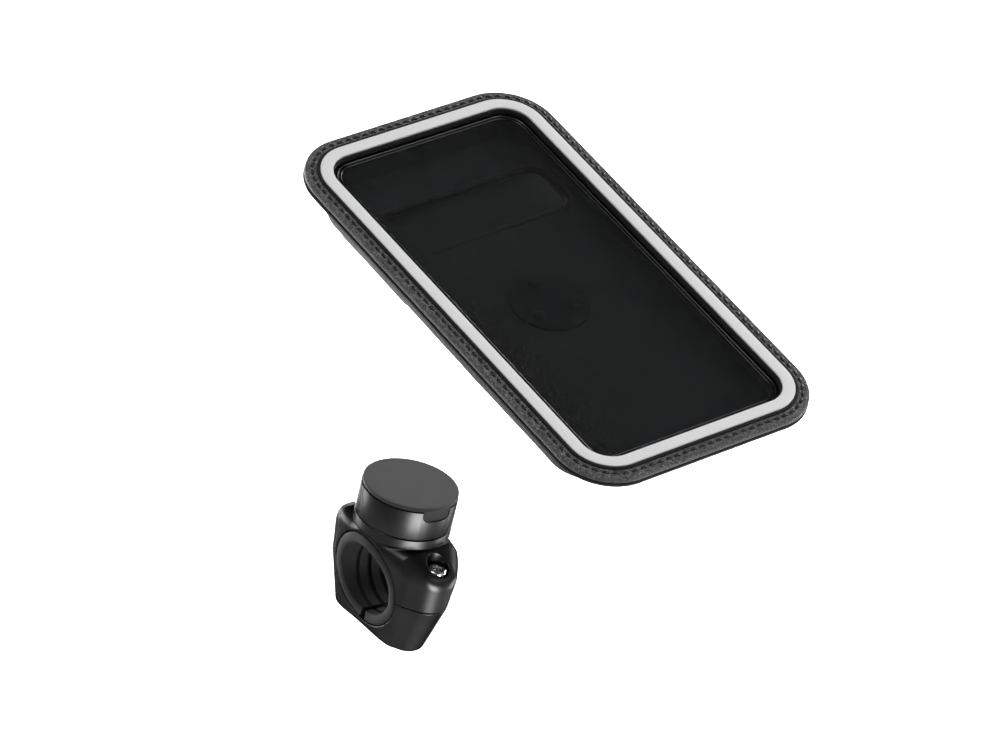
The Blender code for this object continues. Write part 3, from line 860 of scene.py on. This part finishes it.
def build_jaw():
    rings = []
    for keep in (0.05, 0.5):

        def on_bottom(index, end):
            return towards_spine(wall_point(index, end, JAW_BOTTOM), keep, JAW_SPINE_END)

        rings.append(body_ring(on_bottom))
    for step in range(9):

        def on_edge(index, end):
            corner = wall_point(index, end, JAW_BOTTOM)
            high = wall_point(index, end, JAW_BOTTOM + JAW_EDGE)
            return corner_point(inset(corner, JAW_EDGE, JAW_SPINE_END), corner, high, step / 8)

        rings.append(body_ring(on_edge))
    for step in range(1, 12):
        z = between(JAW_BOTTOM + JAW_EDGE, -GAP / 2, step / 11)
        rings.append(body_ring(lambda index, end: wall_point(index, end, z)))
    jaw = loft("clamp_jaw_body", rings)
    holes = [along_x("bore", BORE_RADIUS, 30.0)]
    for end in (-1, 1):
        profile = [(SHAFT_HOLE_RADIUS, -7.6), (SHAFT_HOLE_RADIUS, 3.0)]
        holes.append(loft("hole", turned(profile, (0.0, end * SCREW_Y), 48)))
    boolean(jaw, holes)
    soften(jaw)
    place(jaw, "jaw", "clamp_alloy", ["clamp_jaw"])


def chamfered(x, radius, x_way, radius_way):
    """A corner of the liner's section, cut off by its lip, as (x, radius) points."""
    near = (x - x_way * LINER_LIP, radius)
    middle = (x - 0.3 * x_way * LINER_LIP, radius - 0.3 * radius_way * LINER_LIP)
    return [near, middle, (x, radius - radius_way * LINER_LIP)]


def build_liner():
    """A rubber ring split at its lowest point, with shallow grooves where it grips the bar."""
    steps = 200
    half_split = LINER_SPLIT / 2 / LINER_OUTER
    grooves = []
    for centre in LINER_GROOVES:
        floor = LINER_INNER + LINER_GROOVE_DEPTH
        grooves += [(centre + 0.9, LINER_INNER), (centre + 0.55, floor)]
        grooves += [(centre - 0.55, floor), (centre - 0.9, LINER_INNER)]
    rings = []
    for step in range(steps + 1):
        angle = -pi / 2 + half_split + (2 * pi - 2 * half_split) * step / steps
        half = side_face(LINER_OUTER * cos(angle), LINER_OUTER * sin(angle)) - 0.15
        side = chamfered(half, LINER_OUTER, 1, 1) + chamfered(half, LINER_INNER, 1, -1)[::-1]
        section = side + grooves + [(-x, radius) for x, radius in reversed(side)]
        rings.append([(x, radius * cos(angle), radius * sin(angle)) for x, radius in section])
    liner = loft("bar_liner_ring", rings)
    place(liner, "clamp", "liner_rubber", ["bar_liner"])


def build_clamp_screw(label):
    """A socket-head screw, its rim chamfered and its hexagon socket open at the top."""
    seat = COUNTERBORE_FLOOR + GAP
    top = seat + SCREW_HEAD_HEIGHT
    profile = [
        (SHAFT_RADIUS - 0.5, SCREW_TIP),
        (SHAFT_RADIUS, SCREW_TIP + 0.5),
        (SHAFT_RADIUS, seat),
        (SCREW_HEAD_RADIUS - 0.1, seat),
        (SCREW_HEAD_RADIUS, seat + 0.1),
        (SCREW_HEAD_RADIUS, top - 0.7),
        (SCREW_HEAD_RADIUS - 0.12, top - 0.35),
        (SCREW_HEAD_RADIUS - 0.4, top - 0.08),
        (SCREW_HEAD_RADIUS - 0.75, top),
        (2.1, top),
        (1.95, top - 0.12),
    ]
    screw = loft("screw_" + label, turned(profile, steps=64))
    socket = loft("socket", turned([(0.9, top - 2.5), (1.85, top - 2.1), (1.85, top + 2.0)], steps=6))
    boolean(screw, [socket])
    bevel(screw, 0.06, 50.0)
    place(screw, label + "_screw", "screw_steel", ["clamp_screw_" + label])


# ---------------------------------------------------------------- head


def tongue(name, half, bottom, inner, outer, top):
    """A strip of a cylinder's wall with rounded lower corners, from one radius to another."""
    outline = [(half, top)]
    outline += [(half * (1 - step / 12), top) for step in range(1, 25)]
    for quarter, side in ((2, -1), (3, 1)):
        for step in range(9):
            angle = pi / 2 * (quarter + step / 8)
            x = side * (half - TONGUE_CORNER) + TONGUE_CORNER * cos(angle)
            outline.append((x, bottom + TONGUE_CORNER + TONGUE_CORNER * sin(angle)))
        if side < 0:
            flat = half - TONGUE_CORNER
            outline += [(flat * (step / 6 - 1), bottom) for step in range(1, 12)]
    rings = [[(x, -sqrt(radius**2 - x**2), z) for x, z in outline] for radius in (inner, outer)]
    return loft(name, rings)


def build_cup():
    low = NECK_TOP + GAP
    floor = low + CUP_FLOOR
    inner = HEAD_RADIUS - CUP_WALL
    profile = [
        (SHAFT_HOLE_RADIUS, low),
        (HEAD_RADIUS - 0.18, low),
        (HEAD_RADIUS - 0.05, low + 0.05),
        (HEAD_RADIUS, low + 0.18),
        (HEAD_RADIUS, CUP_TOP - 0.15),
        (HEAD_RADIUS - 0.04, CUP_TOP - 0.04),
        (HEAD_RADIUS - 0.15, CUP_TOP),
        (inner, CUP_TOP),
        (inner, floor),
        (SHAFT_HOLE_RADIUS, floor),
    ]
    cup = loft("head_cup_shell", turned(profile, steps=240), closed_loop=True)
    notch_inner = HEAD_RADIUS - TONGUE_THICKNESS - 0.7
    notch = tongue("notch", TONGUE_HALF_WIDTH + 0.2, TONGUE_BOTTOM - 0.2, notch_inner, 25.0, 40.0)
    boolean(cup, [notch])
    smooth(cup, 30)
    place(cup, "head", "clamp_alloy", ["head_cup"])


def build_pad():
    low = CUP_TOP + GAP
    profile = [
        (PAD_RADIUS - 0.2, low),
        (PAD_RADIUS, low + 0.2),
        (PAD_RADIUS, PAD_TOP - 0.22),
        (PAD_RADIUS - 0.06, PAD_TOP - 0.07),
        (PAD_RADIUS - 0.22, PAD_TOP),
        (PAD_RADIUS - 1.0, PAD_TOP),
        (8.0, PAD_TOP),
        (1.0, PAD_TOP),
    ]
    pad = loft("grip_pad_disc", turned(profile, steps=240))
    inner = HEAD_RADIUS - TONGUE_THICKNESS - 0.2
    strip = tongue("strip", TONGUE_HALF_WIDTH, TONGUE_BOTTOM, inner, PAD_RADIUS - 0.05, PAD_TOP - 0.7)
    boolean(pad, [strip], "UNION")
    smooth(pad, 30)
    place(pad, "head", "pad_rubber", ["grip_pad"])


# ---------------------------------------------------------------- pouch window and rim


def grown(margin):
    """The border's outline moved outwards."""
    return Outline(BORDER_WIDTH + 2 * margin, BORDER_LENGTH + 2 * margin, BORDER_CORNER + margin)


SEAM_MARGIN = RIM_MARGIN - STITCH_INSET
SEAM = grown(SEAM_MARGIN)
STITCH_COUNT = round(SEAM.around / STITCH_PITCH)


def bell(x):
    return exp(-x * x)


def rim_top(out, distance):
    """The cloth's height at a distance outwards from the seam: two soft rolls, with the seam's thread
    pressing a shallow furrow between them that is deepest at each needle hole."""
    roll = 0.15 * bell((out - 1.45) / 0.95) + 0.12 * bell((out + 1.1) / 0.6)
    phase = (distance / SEAM.around * STITCH_COUNT) % 1.0
    holes = bell((phase - 0.12) / 0.07) + bell((phase - 0.88) / 0.07)
    furrow = (0.05 + 0.3 * holes) * bell(out / 0.4)
    wave = 0.04 * noise.noise(Vector((distance * 0.11, out * 0.4, 3.0)))
    return RIM_TOP + roll - furrow + wave


def rim_section(distance):
    """The rim cloth's section: hidden under the border, a gap beside it, then the two rolls."""
    edge = STITCH_INSET + 0.03 * noise.noise(Vector((distance * 0.23, 7.0, 0.0)))
    beside = -SEAM_MARGIN
    inner = beside - BORDER_BAND + 0.7
    low = FILM_BOTTOM - 0.05
    points = [(inner, RIM_BOTTOM + 0.3), (inner + 0.25, RIM_TOP - 0.12), (inner + 0.6, RIM_TOP - 0.08)]
    points += [(beside - 0.25, RIM_TOP - 0.08), (beside - 0.1, RIM_TOP - 0.5)]
    points += [(beside, RIM_BOTTOM + 0.5)]
    points += [(beside + RIM_GAP - 0.08, RIM_BOTTOM + 0.5), (beside + RIM_GAP - 0.02, RIM_TOP - 0.25)]
    tops = [-1.7, -1.55, -1.35, -1.1, -0.9, -0.7, -0.5, -0.3, -0.12]
    tops += [0.12, 0.3, 0.5, 0.75, 1.05, 1.4, 1.75]
    points += [(out, rim_top(out, distance)) for out in tops]
    start = rim_top(1.75, distance)
    for angle in (0.35, 0.7, 1.05, 1.35):
        across = edge - 0.85 * (1 - sin(angle))
        points.append((across, start - (start + 2.2) * (1 - cos(angle))))
    points += [(edge, -2.3), (edge - 0.05, -2.8), (edge - 0.3, low + 0.12), (edge - 0.7, low)]
    points += [(0.3, low), (-0.3, RIM_BOTTOM), (inner + 0.3, RIM_BOTTOM)]
    return points


def build_rim():
    rim = swept("pouch_rim_cloth", SEAM, rim_section, 0.5)
    place(rim, "pouch", "rim_fabric", ["pouch_rim"])

    def backing_section(distance):
        outer = STITCH_INSET + 0.12 + 0.05 * noise.noise(Vector((distance * 0.17, 2.0, 5.0)))
        inner = -SEAM_MARGIN - BORDER_BAND + 1.25
        return rounded_box_section(inner, outer, BACKING_BOTTOM, BACKING_TOP + 0.1, 0.5)

    backing = swept("rim_backing_cloth", SEAM, backing_section, 1.2)
    place(backing, "pouch", "back_fabric", ["rim_backing"])


def build_window_shade_binding():
    """A black binding that lines the window's edge under the border: painted shade on the wall just inside the
    border's inner edge.
    """

    def section(distance):
        across = (-BORDER_BAND - 0.45, -BORDER_BAND + 0.6)
        return rounded_box_section(*across, FILM_TOP + 0.05, RIM_TOP + 0.25, 0.3)

    binding = swept("window_shade_binding", grown(0.0), section, 1.0)
    place(binding, "pouch", "back_fabric")


def stitch_rings(length, radius, sides=8, steps=9):
    """One stitch along x: a twisted thread that rises out of one hole and dives into the next."""
    rings = []
    for step in range(steps):
        share = step / (steps - 1)
        x = length * (share - 0.5)
        arch = sin(pi * share) ** 0.6
        thick = radius * (0.45 + 0.55 * sin(pi * min(1.0, max(0.0, 0.08 + 0.84 * share))))
        z = -radius * 1.3 * (1 - arch)
        ring = []
        for side in range(sides):
            angle = 2 * pi * side / sides
            ring.append((x, thick * cos(angle), z + thick * 0.85 * sin(angle)))
        rings.append(ring)
    return rings


def stitch_row(name, outline, count, height, length, radius, slant, skip=None):
    """Stitches along an outline as one mesh, each turned a little out of line."""
    points, faces = [], []
    template = stitch_rings(length, radius)
    sides = len(template[0])
    for index in range(count):
        distance = outline.around * (index + 0.5) / count
        x, y, out_x, out_y = outline.at(distance)
        if skip and skip(x, y):
            continue
        along = Vector((-out_y, out_x, 0.0))
        outward = Vector((out_x, out_y, 0.0))
        turn = slant + radians(3.0) * noise.noise(Vector((index * 1.7, 0.0, 1.0)))
        ahead = along * cos(turn) + outward * sin(turn)
        aside = outward * cos(turn) - along * sin(turn)
        first = len(points)
        centre = Vector((x, y, height + 0.05 * noise.noise(Vector((index * 2.3, 4.0, 0.0)))))
        for ring in template:
            points += [centre + ahead * px + aside * py + Vector((0.0, 0.0, pz)) for px, py, pz in ring]
        last = first + sides * (len(template) - 1)
        faces += [tuple(range(first, first + sides)), tuple(range(last, last + sides))]
        for ring in range(len(template) - 1):
            low = first + ring * sides
            for side in range(sides):
                other = (side + 1) % sides
                faces.append((low + side, low + other, low + sides + other, low + sides + side))
    return mesh_object(name, points, faces, 80.0)


def build_stitching():
    height = RIM_TOP + 0.22
    row = stitch_row(
        "rim_stitches", SEAM, STITCH_COUNT, height, STITCH_LENGTH, STITCH_RADIUS, STITCH_SLANT
    )
    place(row, "pouch", "thread", ["rim_stitching"])


def build_border():
    edge = grown(0.0)

    def section(distance):
        sag = 0.02 * noise.noise(Vector((distance * 0.05, 1.0, 9.0)))
        points = rounded_box_section(-BORDER_BAND, 0.0, RIM_TOP + 0.2, 0.0, 0.28)
        return [(out, z + (sag if z > -0.4 else 0.0)) for out, z in points]

    border = swept("reflective_band", edge, section, 1.0)
    place(border, "pouch", "reflective_tape", ["reflective_border"])

    # A black edging in the gap beside the border: painted shadow of the border's raised wall.
    def painted_shadow_edging_section(distance):
        return rounded_box_section(0.02, RIM_GAP, RIM_TOP - 0.5, -0.3, 0.25)

    painted_shadow_edging = swept("border_painted_shadow", edge, painted_shadow_edging_section, 1.0)
    place(painted_shadow_edging, "pouch", "back_fabric")


def build_film():
    outs = [FILM_MARGIN, -5.0, -12.0, -25.0]
    rings = [ring_of(grown(out), FILM_BOTTOM, 200) for out in reversed(outs)]
    rings += [ring_of(grown(out), FILM_TOP, 200) for out in outs]
    film = loft("window_sheet", rings, sharp=70.0)
    place(film, "pouch", "clear_film", ["window_film"])


def build_weld_beads():
    """The two fine glossy welds that fix the clear film inside the border."""
    beads = (("outer_weld", 1.75, 0.42, 0.5), ("inner_weld", 2.95, 0.3, 0.35))
    for name, inside, half, height in beads:

        def section(distance):
            angles = [pi * step / 12 for step in range(13)]
            arc = [(half * cos(angle), FILM_TOP + height * sin(angle)) for angle in angles]
            return arc + [(-half, FILM_TOP - 0.02), (half, FILM_TOP - 0.02)]

        bead = swept(name, grown(-BORDER_BAND - inside), section, 0.8)
        place(bead, "pouch", "puck_plastic", finish="weld")


# ---------------------------------------------------------------- pouch back


def back_outline(depth, wall):
    """(outline, z) of the back at a depth from 0 at its open top to 1 at its face, inset by a wall."""
    top = BACKING_BOTTOM - 0.1
    z = between(top, BACK_FACE, depth)
    taper = smooth_step(depth) * 0.35 + depth * 0.65
    base = max(0.0, (depth - 0.62) / 0.38)
    curl = 1 - sqrt(max(0.0, 1 - base**2))
    width = BACK_WIDTH - 3.6 * taper - 3.4 * curl
    length = BACK_LENGTH - 9.2 * taper - 4.8 * curl
    corner = 17.0 - 2.0 * taper - 2.0 * curl
    return Outline(width - 2 * wall, length - 2 * wall, corner - wall), z


def back_wave(x, y, z):
    """Soft unevenness of the fabric, none at its flat middle."""
    out = smooth_step((max(abs(x) - 36.0, abs(y) - 70.0)) / 8.0)
    return 0.25 * out * noise.noise(Vector((x * 0.07, y * 0.07, z * 0.2)))


def back_ring(depth, wall):
    """A plain ring of the back at a depth, inset by a wall and no lower than the pocket's floor."""
    outline, z = back_outline(depth, wall)
    return ring_of(outline, max(z, BACK_FACE + BACK_FLOOR) if wall >= BACK_WALL else z, BACK_POINTS)


def waved_ring(depth):
    """A ring of the back's outside, a little uneven below its open top."""
    ring = []
    for x, y, z in back_ring(depth, 0.0):
        keep = 1 + back_wave(x, y, z) / hypot(x, y) * smooth_step(depth * 6)
        ring.append((x * keep, y * keep, z))
    return ring


def rivet_holes():
    profile = [(RIVET_HOLE_RADIUS, CUT_FROM), (RIVET_HOLE_RADIUS, CUT_TO)]
    return [loft("rivet_hole", turned(profile, rivet_centre(index), 24)) for index in range(3)]


def build_back():
    depths = [step / 18 for step in range(19)]
    rings = [ring_of(back_outline(1.0, extra)[0], BACK_FACE, BACK_POINTS) for extra in (6.0, 0.4)]
    rings += [waved_ring(depth) for depth in reversed(depths)]
    floor = BACK_FACE + BACK_FLOOR
    rings += [back_ring(depth, BACK_WALL) for depth in depths if back_outline(depth, 0.0)[1] > floor]
    rings += [back_ring(0.9, BACK_WALL + extra) for extra in (1.2, 6.0)]
    back = loft("pouch_back_shell", rings, sharp=60.0)
    slot = Outline(2 * SLOT_HALF_WIDTH, SLOT_TO - SLOT_FROM, SLOT_CORNER, (SLOT_FROM + SLOT_TO) / 2)
    slot_cutter = loft("slot", [ring_of(slot, z, 160) for z in (CUT_FROM, CUT_TO)])
    boolean(back, [slot_cutter] + rivet_holes())
    smooth(back, 50)
    place(back, "pouch", "back_fabric", ["pouch_back"])
    build_slot_binding(slot)


def build_slot_binding(slot):
    """A rolled binding that finishes the slot's edge, inside and out."""

    def section(distance):
        low = BACK_FACE - 0.45
        high = BACK_FACE + BACK_FLOOR + 0.4
        return rounded_box_section(-0.55, 1.5, low, high, 0.5)

    binding = swept("slot_binding", slot, section, 0.9)
    place(binding, "pouch", "back_fabric")


def rivet_centre(index):
    angle = 2 * pi * index / 3 + pi / 2
    return (RIVET_CIRCLE * cos(angle), RIVET_CIRCLE * sin(angle))


# ---------------------------------------------------------------- flap

FLAP_TOP = BACK_FACE - 3 * GAP - 2 * STRIP_THICKNESS
FLAP_BOTTOM = FLAP_TOP - FLAP_THICKNESS


def slab(name, width, start, end, corner, bottom, top, edge):
    """A flat slab across the pouch between two places along it, with a rounded edge."""
    levels = []
    for step in range(5):
        angle = pi / 2 * step / 4
        levels.append((edge * (1 - sin(angle)), bottom + edge * (1 - cos(angle))))
    for step in range(5):
        angle = pi / 2 * step / 4
        levels.append((edge * (1 - cos(angle)), top - edge * (1 - sin(angle))))
    rings = []
    for inset_by, z in levels:
        size = (width - 2 * inset_by, end - start - 2 * inset_by)
        rings.append(ring_of(Outline(*size, corner - inset_by, (start + end) / 2), z, 160))
    return loft(name, rings, sharp=60.0)


def flap_sheet():
    """The flap and its sewn end as one sheet: a grid with rounded corners, top and bottom."""
    columns, rows = 84, 100
    end = FLAP_HINGE_Y + GAP + ANCHOR_WIDTH
    points, faces = [], []

    def half_at(y):
        corner = 4.0
        from_end = min(y - FLAP_END, corner)
        free = FLAP_HALF_WIDTH - corner + sqrt(max(0.0, corner**2 - (corner - from_end) ** 2))
        sewn = FLAP_HALF_WIDTH - 3.0 * smooth_step((y - FLAP_HINGE_Y + 6.0) / 8.0)
        return min(free, sewn)

    def middle_height(x, y):
        """The sheet settles onto the strips, dips over the slot and rises to its sewn end."""
        over_slot = bell((y - 49.0) / 9.0) * bell(x / 34.0)
        sewn = smooth_step((y - FLAP_HINGE_Y + 5.0) / 6.5)
        wave = 0.12 * noise.noise(Vector((x * 0.06, y * 0.1, 0.0)))
        return (FLAP_TOP + FLAP_BOTTOM) / 2 + 0.35 * over_slot + 0.75 * sewn + wave * (1 - sewn)

    def thick_at(x, y):
        half = half_at(y)
        inside = min(half - abs(x), y - FLAP_END + 0.02, end - y + 0.02)
        seam = 0.22 * bell((inside - 2.0) / 0.45)
        edge = sqrt(max(0.0, 1 - (1 - min(1.0, inside / 0.6)) ** 2))
        return FLAP_THICKNESS / 2 * max(0.12, edge) - seam * 0.5

    for side in (1, -1):
        for row in range(rows + 1):
            share = row / rows
            y = FLAP_END + (end - FLAP_END) * share
            half = half_at(y)
            for column in range(columns + 1):
                across = sin((column / columns - 0.5) * pi) * 0.35 + (column / columns - 0.5) * 2 * 0.65
                x = half * across
                points.append((x, y, middle_height(x, y) + side * thick_at(x, y)))
    width = columns + 1
    layer = width * (rows + 1)
    for base in (0, layer):
        for row in range(rows):
            for column in range(columns):
                first = base + row * width + column
                faces.append((first, first + 1, first + width + 1, first + width))
    border = list(range(width))
    border += [row * width + columns for row in range(1, rows + 1)]
    border += [rows * width + column for column in range(columns - 1, -1, -1)]
    border += [row * width for row in range(rows - 1, 0, -1)]
    for first, second in zip(border, border[1:] + border[:1]):
        faces.append((first, second, second + layer, first + layer))
    return mesh_object("flap_cloth", points, faces, 70.0)


def build_flap():
    sheet = flap_sheet()
    sheet.data.transform(POUCH @ Matrix.Scale(MM, 4))
    sheet.data.materials.append(FINISHES["back_fabric"])
    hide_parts("back_flap", "flap_anchor")
    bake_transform(sheet)
    hook_top = FLAP_TOP + GAP + STRIP_THICKNESS
    strip = 2 * STRIP_HALF_WIDTH
    hook_place = (STRIP_FROM - 1, STRIP_TO + 1)
    hook = slab("hook_strip", strip, *hook_place, 1.5, FLAP_TOP + 0.1, hook_top, 0.25)
    place(hook, "flap", "hook_tape", ["flap_hook_strip"])
    loop_low = BACK_FACE - GAP - STRIP_THICKNESS
    loop_top = BACK_FACE - 0.05
    loop = slab("loop_strip", strip, STRIP_FROM, STRIP_TO, 1.5, loop_low, loop_top, 0.25)
    place(loop, "pouch", "hook_tape", ["flap_loop_strip"])
    tab_place = (TAB_WIDTH, TAB_FROM, TAB_TO, 3.0, FLAP_BOTTOM - 1.3, FLAP_BOTTOM - 0.12)
    tab = slab("pull_tab_webbing", *tab_place, 0.4)
    place(tab, "flap", "rim_fabric", ["flap_pull_tab"])
    build_flap_stitches()


def turn_under(row, z):
    """Puts a row of stitches upside down at a height."""
    mirror = Matrix.Diagonal((1.0, 1.0, -1.0, 1.0))
    row.data.transform(Matrix.Translation((0.0, 0.0, z)) @ mirror)
    row.data.flip_normals()


def build_flap_stitches():
    """Rows of stitches under the flap: round its edge up to its sewn end, and round the tab."""
    length = FLAP_HINGE_Y - 4.0 - FLAP_END
    edge = Outline(2 * FLAP_HALF_WIDTH - 4.0, length, 2.5, FLAP_END + 2.0 + length / 2)

    def near_hinge(x, y):
        return y > FLAP_HINGE_Y - 4.5

    row = stitch_row("flap_stitches", edge, 82, 0.0, 2.2, 0.24, radians(6), near_hinge)
    turn_under(row, FLAP_BOTTOM + 0.12)
    place(row, "flap", "thread")
    tab = Outline(TAB_WIDTH - 3.0, 5.0, 0.8, 23.6)
    row = stitch_row("tab_stitches", tab, 14, 0.0, 1.7, 0.22, 0.0)
    turn_under(row, FLAP_BOTTOM - 1.33)
    place(row, "flap", "thread")


# ---------------------------------------------------------------- puck


def scalloped(profile, depth, count, steps=288):
    """Rings of a turned body whose rim is scalloped for grip, deepest at its largest radius."""
    largest = max(radius for radius, _ in profile)
    rings = []
    for radius, z in profile:
        ring = []
        for step in range(steps):
            angle = 2 * pi * step / steps
            bite = max(0.0, cos(count * angle)) ** 2 * depth
            bite *= smooth_step(radius - largest + 1.0)
            ring.append(((radius - bite) * cos(angle), (radius - bite) * sin(angle), z))
        rings.append(ring)
    return rings


def build_puck():
    top = BACK_FACE - 0.05
    wall_end = PUCK_FACE + 0.4
    plate = BACK_FACE - GAP - PUCK_PLATE
    inner = PUCK_RADIUS - 1.5
    profile = [
        (inner, plate),
        (inner, wall_end + 0.15),
        (inner + 0.15, wall_end),
        (PUCK_RADIUS - 0.5, wall_end),
        (PUCK_RADIUS - 0.15, wall_end + 0.15),
        (PUCK_RADIUS, wall_end + 0.5),
        (PUCK_RADIUS, top - 1.3),
        (PUCK_RADIUS - 0.1, top - 1.0),
        (PUCK_RADIUS - 0.4, top - 0.85),
        (PUCK_RADIUS - 0.45, top - 0.15),
        (PUCK_RADIUS - 0.6, top),
    ]
    housing = loft("puck_shell", scalloped(profile, 0.35, 36), sharp=40.0)
    boolean(housing, rivet_holes())
    smooth(housing, 40)
    place(housing, "pouch", "puck_plastic", ["puck_housing"])
    low = PUCK_FACE
    face = [(0.6, low + 0.25), (1.0, low)]
    for groove in range(1, 6):
        radius = 2.4 * groove
        face += [(radius - 0.35, low), (radius - 0.15, low + 0.25)]
        face += [(radius + 0.15, low + 0.25), (radius + 0.35, low)]
    face += [(13.8, low), (14.05, low + 0.12), (14.15, low + 0.4), (14.15, plate - 2.7)]
    disc = loft("puck_grip_face", turned(face, steps=192), sharp=50.0)
    place(disc, "pouch", "pad_rubber", ["puck_face"])


# ---------------------------------------------------------------- carried-over nodes


def finish_cad_nodes():
    """The hidden and inner CAD pieces keep their shape and take the same materials."""
    slots = {part["node"]: part["material_slot"] for part in frame["record"]["subparts"]}
    for name, made in frame["nodes"].items():
        made.data.materials.clear()
        made.data.materials.append(FINISHES[slots[name]])


# ---------------------------------------------------------------- stage


def build_floor():
    made = Finish("floor_paper", 0.60, Specular_IOR_Level=0.2, Roughness=0.9)
    made.set("Base Color", made.ramp(made.noise(900.0, 2.0), ((0.3, 0.59), (0.7, 0.61))))
    half = 30000.0
    z = CAD_BOUNDS[0].z / MM - FLOOR_DROP / MM
    corners = [(-half, -half, z), (half, -half, z), (half, half, z), (-half, half, z)]
    floor = mesh_object("floor", corners, [(0, 1, 2, 3)])
    floor.data.transform(Matrix.Scale(MM, 4))
    floor.data.materials.append(made.material)


def build_world():
    """A dim pale studio, a little brighter at the horizon than overhead."""
    world = bpy.data.worlds.new("studio")
    bpy.context.scene.world = world
    world.use_nodes = True
    tree = world.node_tree
    background = tree.nodes["Background"]
    place_node = tree.nodes.new("ShaderNodeTexCoord")
    split = tree.nodes.new("ShaderNodeSeparateXYZ")
    ramp = tree.nodes.new("ShaderNodeValToRGB")
    ramp.color_ramp.elements[0].position = 0.02
    ramp.color_ramp.elements[0].color = (0.30, 0.303, 0.308, 1.0)
    ramp.color_ramp.elements[1].position = 0.5
    ramp.color_ramp.elements[1].color = (0.10, 0.102, 0.105, 1.0)
    tree.links.new(place_node.outputs["Generated"], split.inputs[0])
    tree.links.new(split.outputs["Z"], ramp.inputs[0])
    tree.links.new(ramp.outputs[0], background.inputs["Color"])
    background.inputs["Strength"].default_value = 1.0


def softbox(name, around, distance, height, size, brightness, target=(0.0, 0.0, 0.0)):
    """A soft rectangular light that faces a target. around is its direction from the object, in
    degrees to the right of the camera, and brightness is its radiance."""
    bearing = CAMERA_BEARING + radians(around)
    place_at = Vector((distance * cos(bearing), distance * sin(bearing), height))
    light = bpy.data.lights.new(name, "AREA")
    light.shape = "RECTANGLE"
    light.size, light.size_y = size
    light.energy = brightness * pi * size[0] * size[1]
    made = new_object(name, light)
    made.location = place_at
    made.rotation_euler = (Vector(target) - place_at).to_track_quat("-Z", "Y").to_euler()
    made.visible_camera = False
    return made


def build_lights():
    """Low lights that only show as reflections, and broad ones that light the object and the paper."""
    softbox("band", 35.0, 0.55, -0.17, (0.34, 0.34), 21.0).visible_diffuse = False
    softbox("left_rim", -132.0, 0.62, -0.17, (0.66, 0.34), 28.0).visible_diffuse = False
    softbox("right_side", 112.0, 0.65, -0.17, (0.30, 0.34), 22.0).visible_diffuse = False
    softbox("back_right", 148.0, 1.2, 0.38, (0.8, 0.6), 9.0, (0.0, 0.0, 0.05))
    softbox("backdrop", 176.0, 1.7, 0.1, (1.5, 0.9), 2.4, (0.0, 0.0, 0.05))
    softbox("top_right", 75.0, 1.0, 1.35, (0.9, 0.9), 4.1, (0.0, 0.0, 0.1))
    softbox("top_left", -60.0, 1.0, 1.5, (0.9, 0.9), 4.5, (0.0, 0.0, 0.1))
    behind = Vector((cos(CAMERA_BEARING + pi), sin(CAMERA_BEARING + pi), 0.0))
    below = behind * 0.82 + Vector((0.0, 0.0, -1.0))
    softbox("paper_light", 180.0, 0.82, 0.12, (0.8, 1.0), 8.0, below).visible_glossy = False


def build_camera():
    forward = Vector(CAMERA_FORWARD).normalized()
    right = Vector(CAMERA_RIGHT)
    right = (right - forward * right.dot(forward)).normalized()
    up = right.cross(forward)
    data = bpy.data.cameras.new("camera")
    data.lens = LENS
    data.sensor_width = SENSOR
    data.clip_start = 0.05
    data.clip_end = 100.0
    made = new_object("camera", data)
    matrix = Matrix((right, up, -forward)).transposed().to_4x4()
    matrix.translation = Vector(CAMERA_PLACE)
    made.matrix_world = matrix
    bpy.context.scene.camera = made


def main():
    bpy.context.scene.view_settings.view_transform = "Standard"
    finish_cad_nodes()
    build_saddle()
    build_jaw()
    build_liner()
    build_clamp_screw("rear")
    build_clamp_screw("front")
    build_cup()
    build_pad()
    build_rim()
    build_window_shade_binding()
    build_stitching()
    build_border()
    build_film()
    build_weld_beads()
    build_back()
    build_flap()
    build_puck()
    build_floor()
    build_world()
    build_lights()
    build_camera()


main()
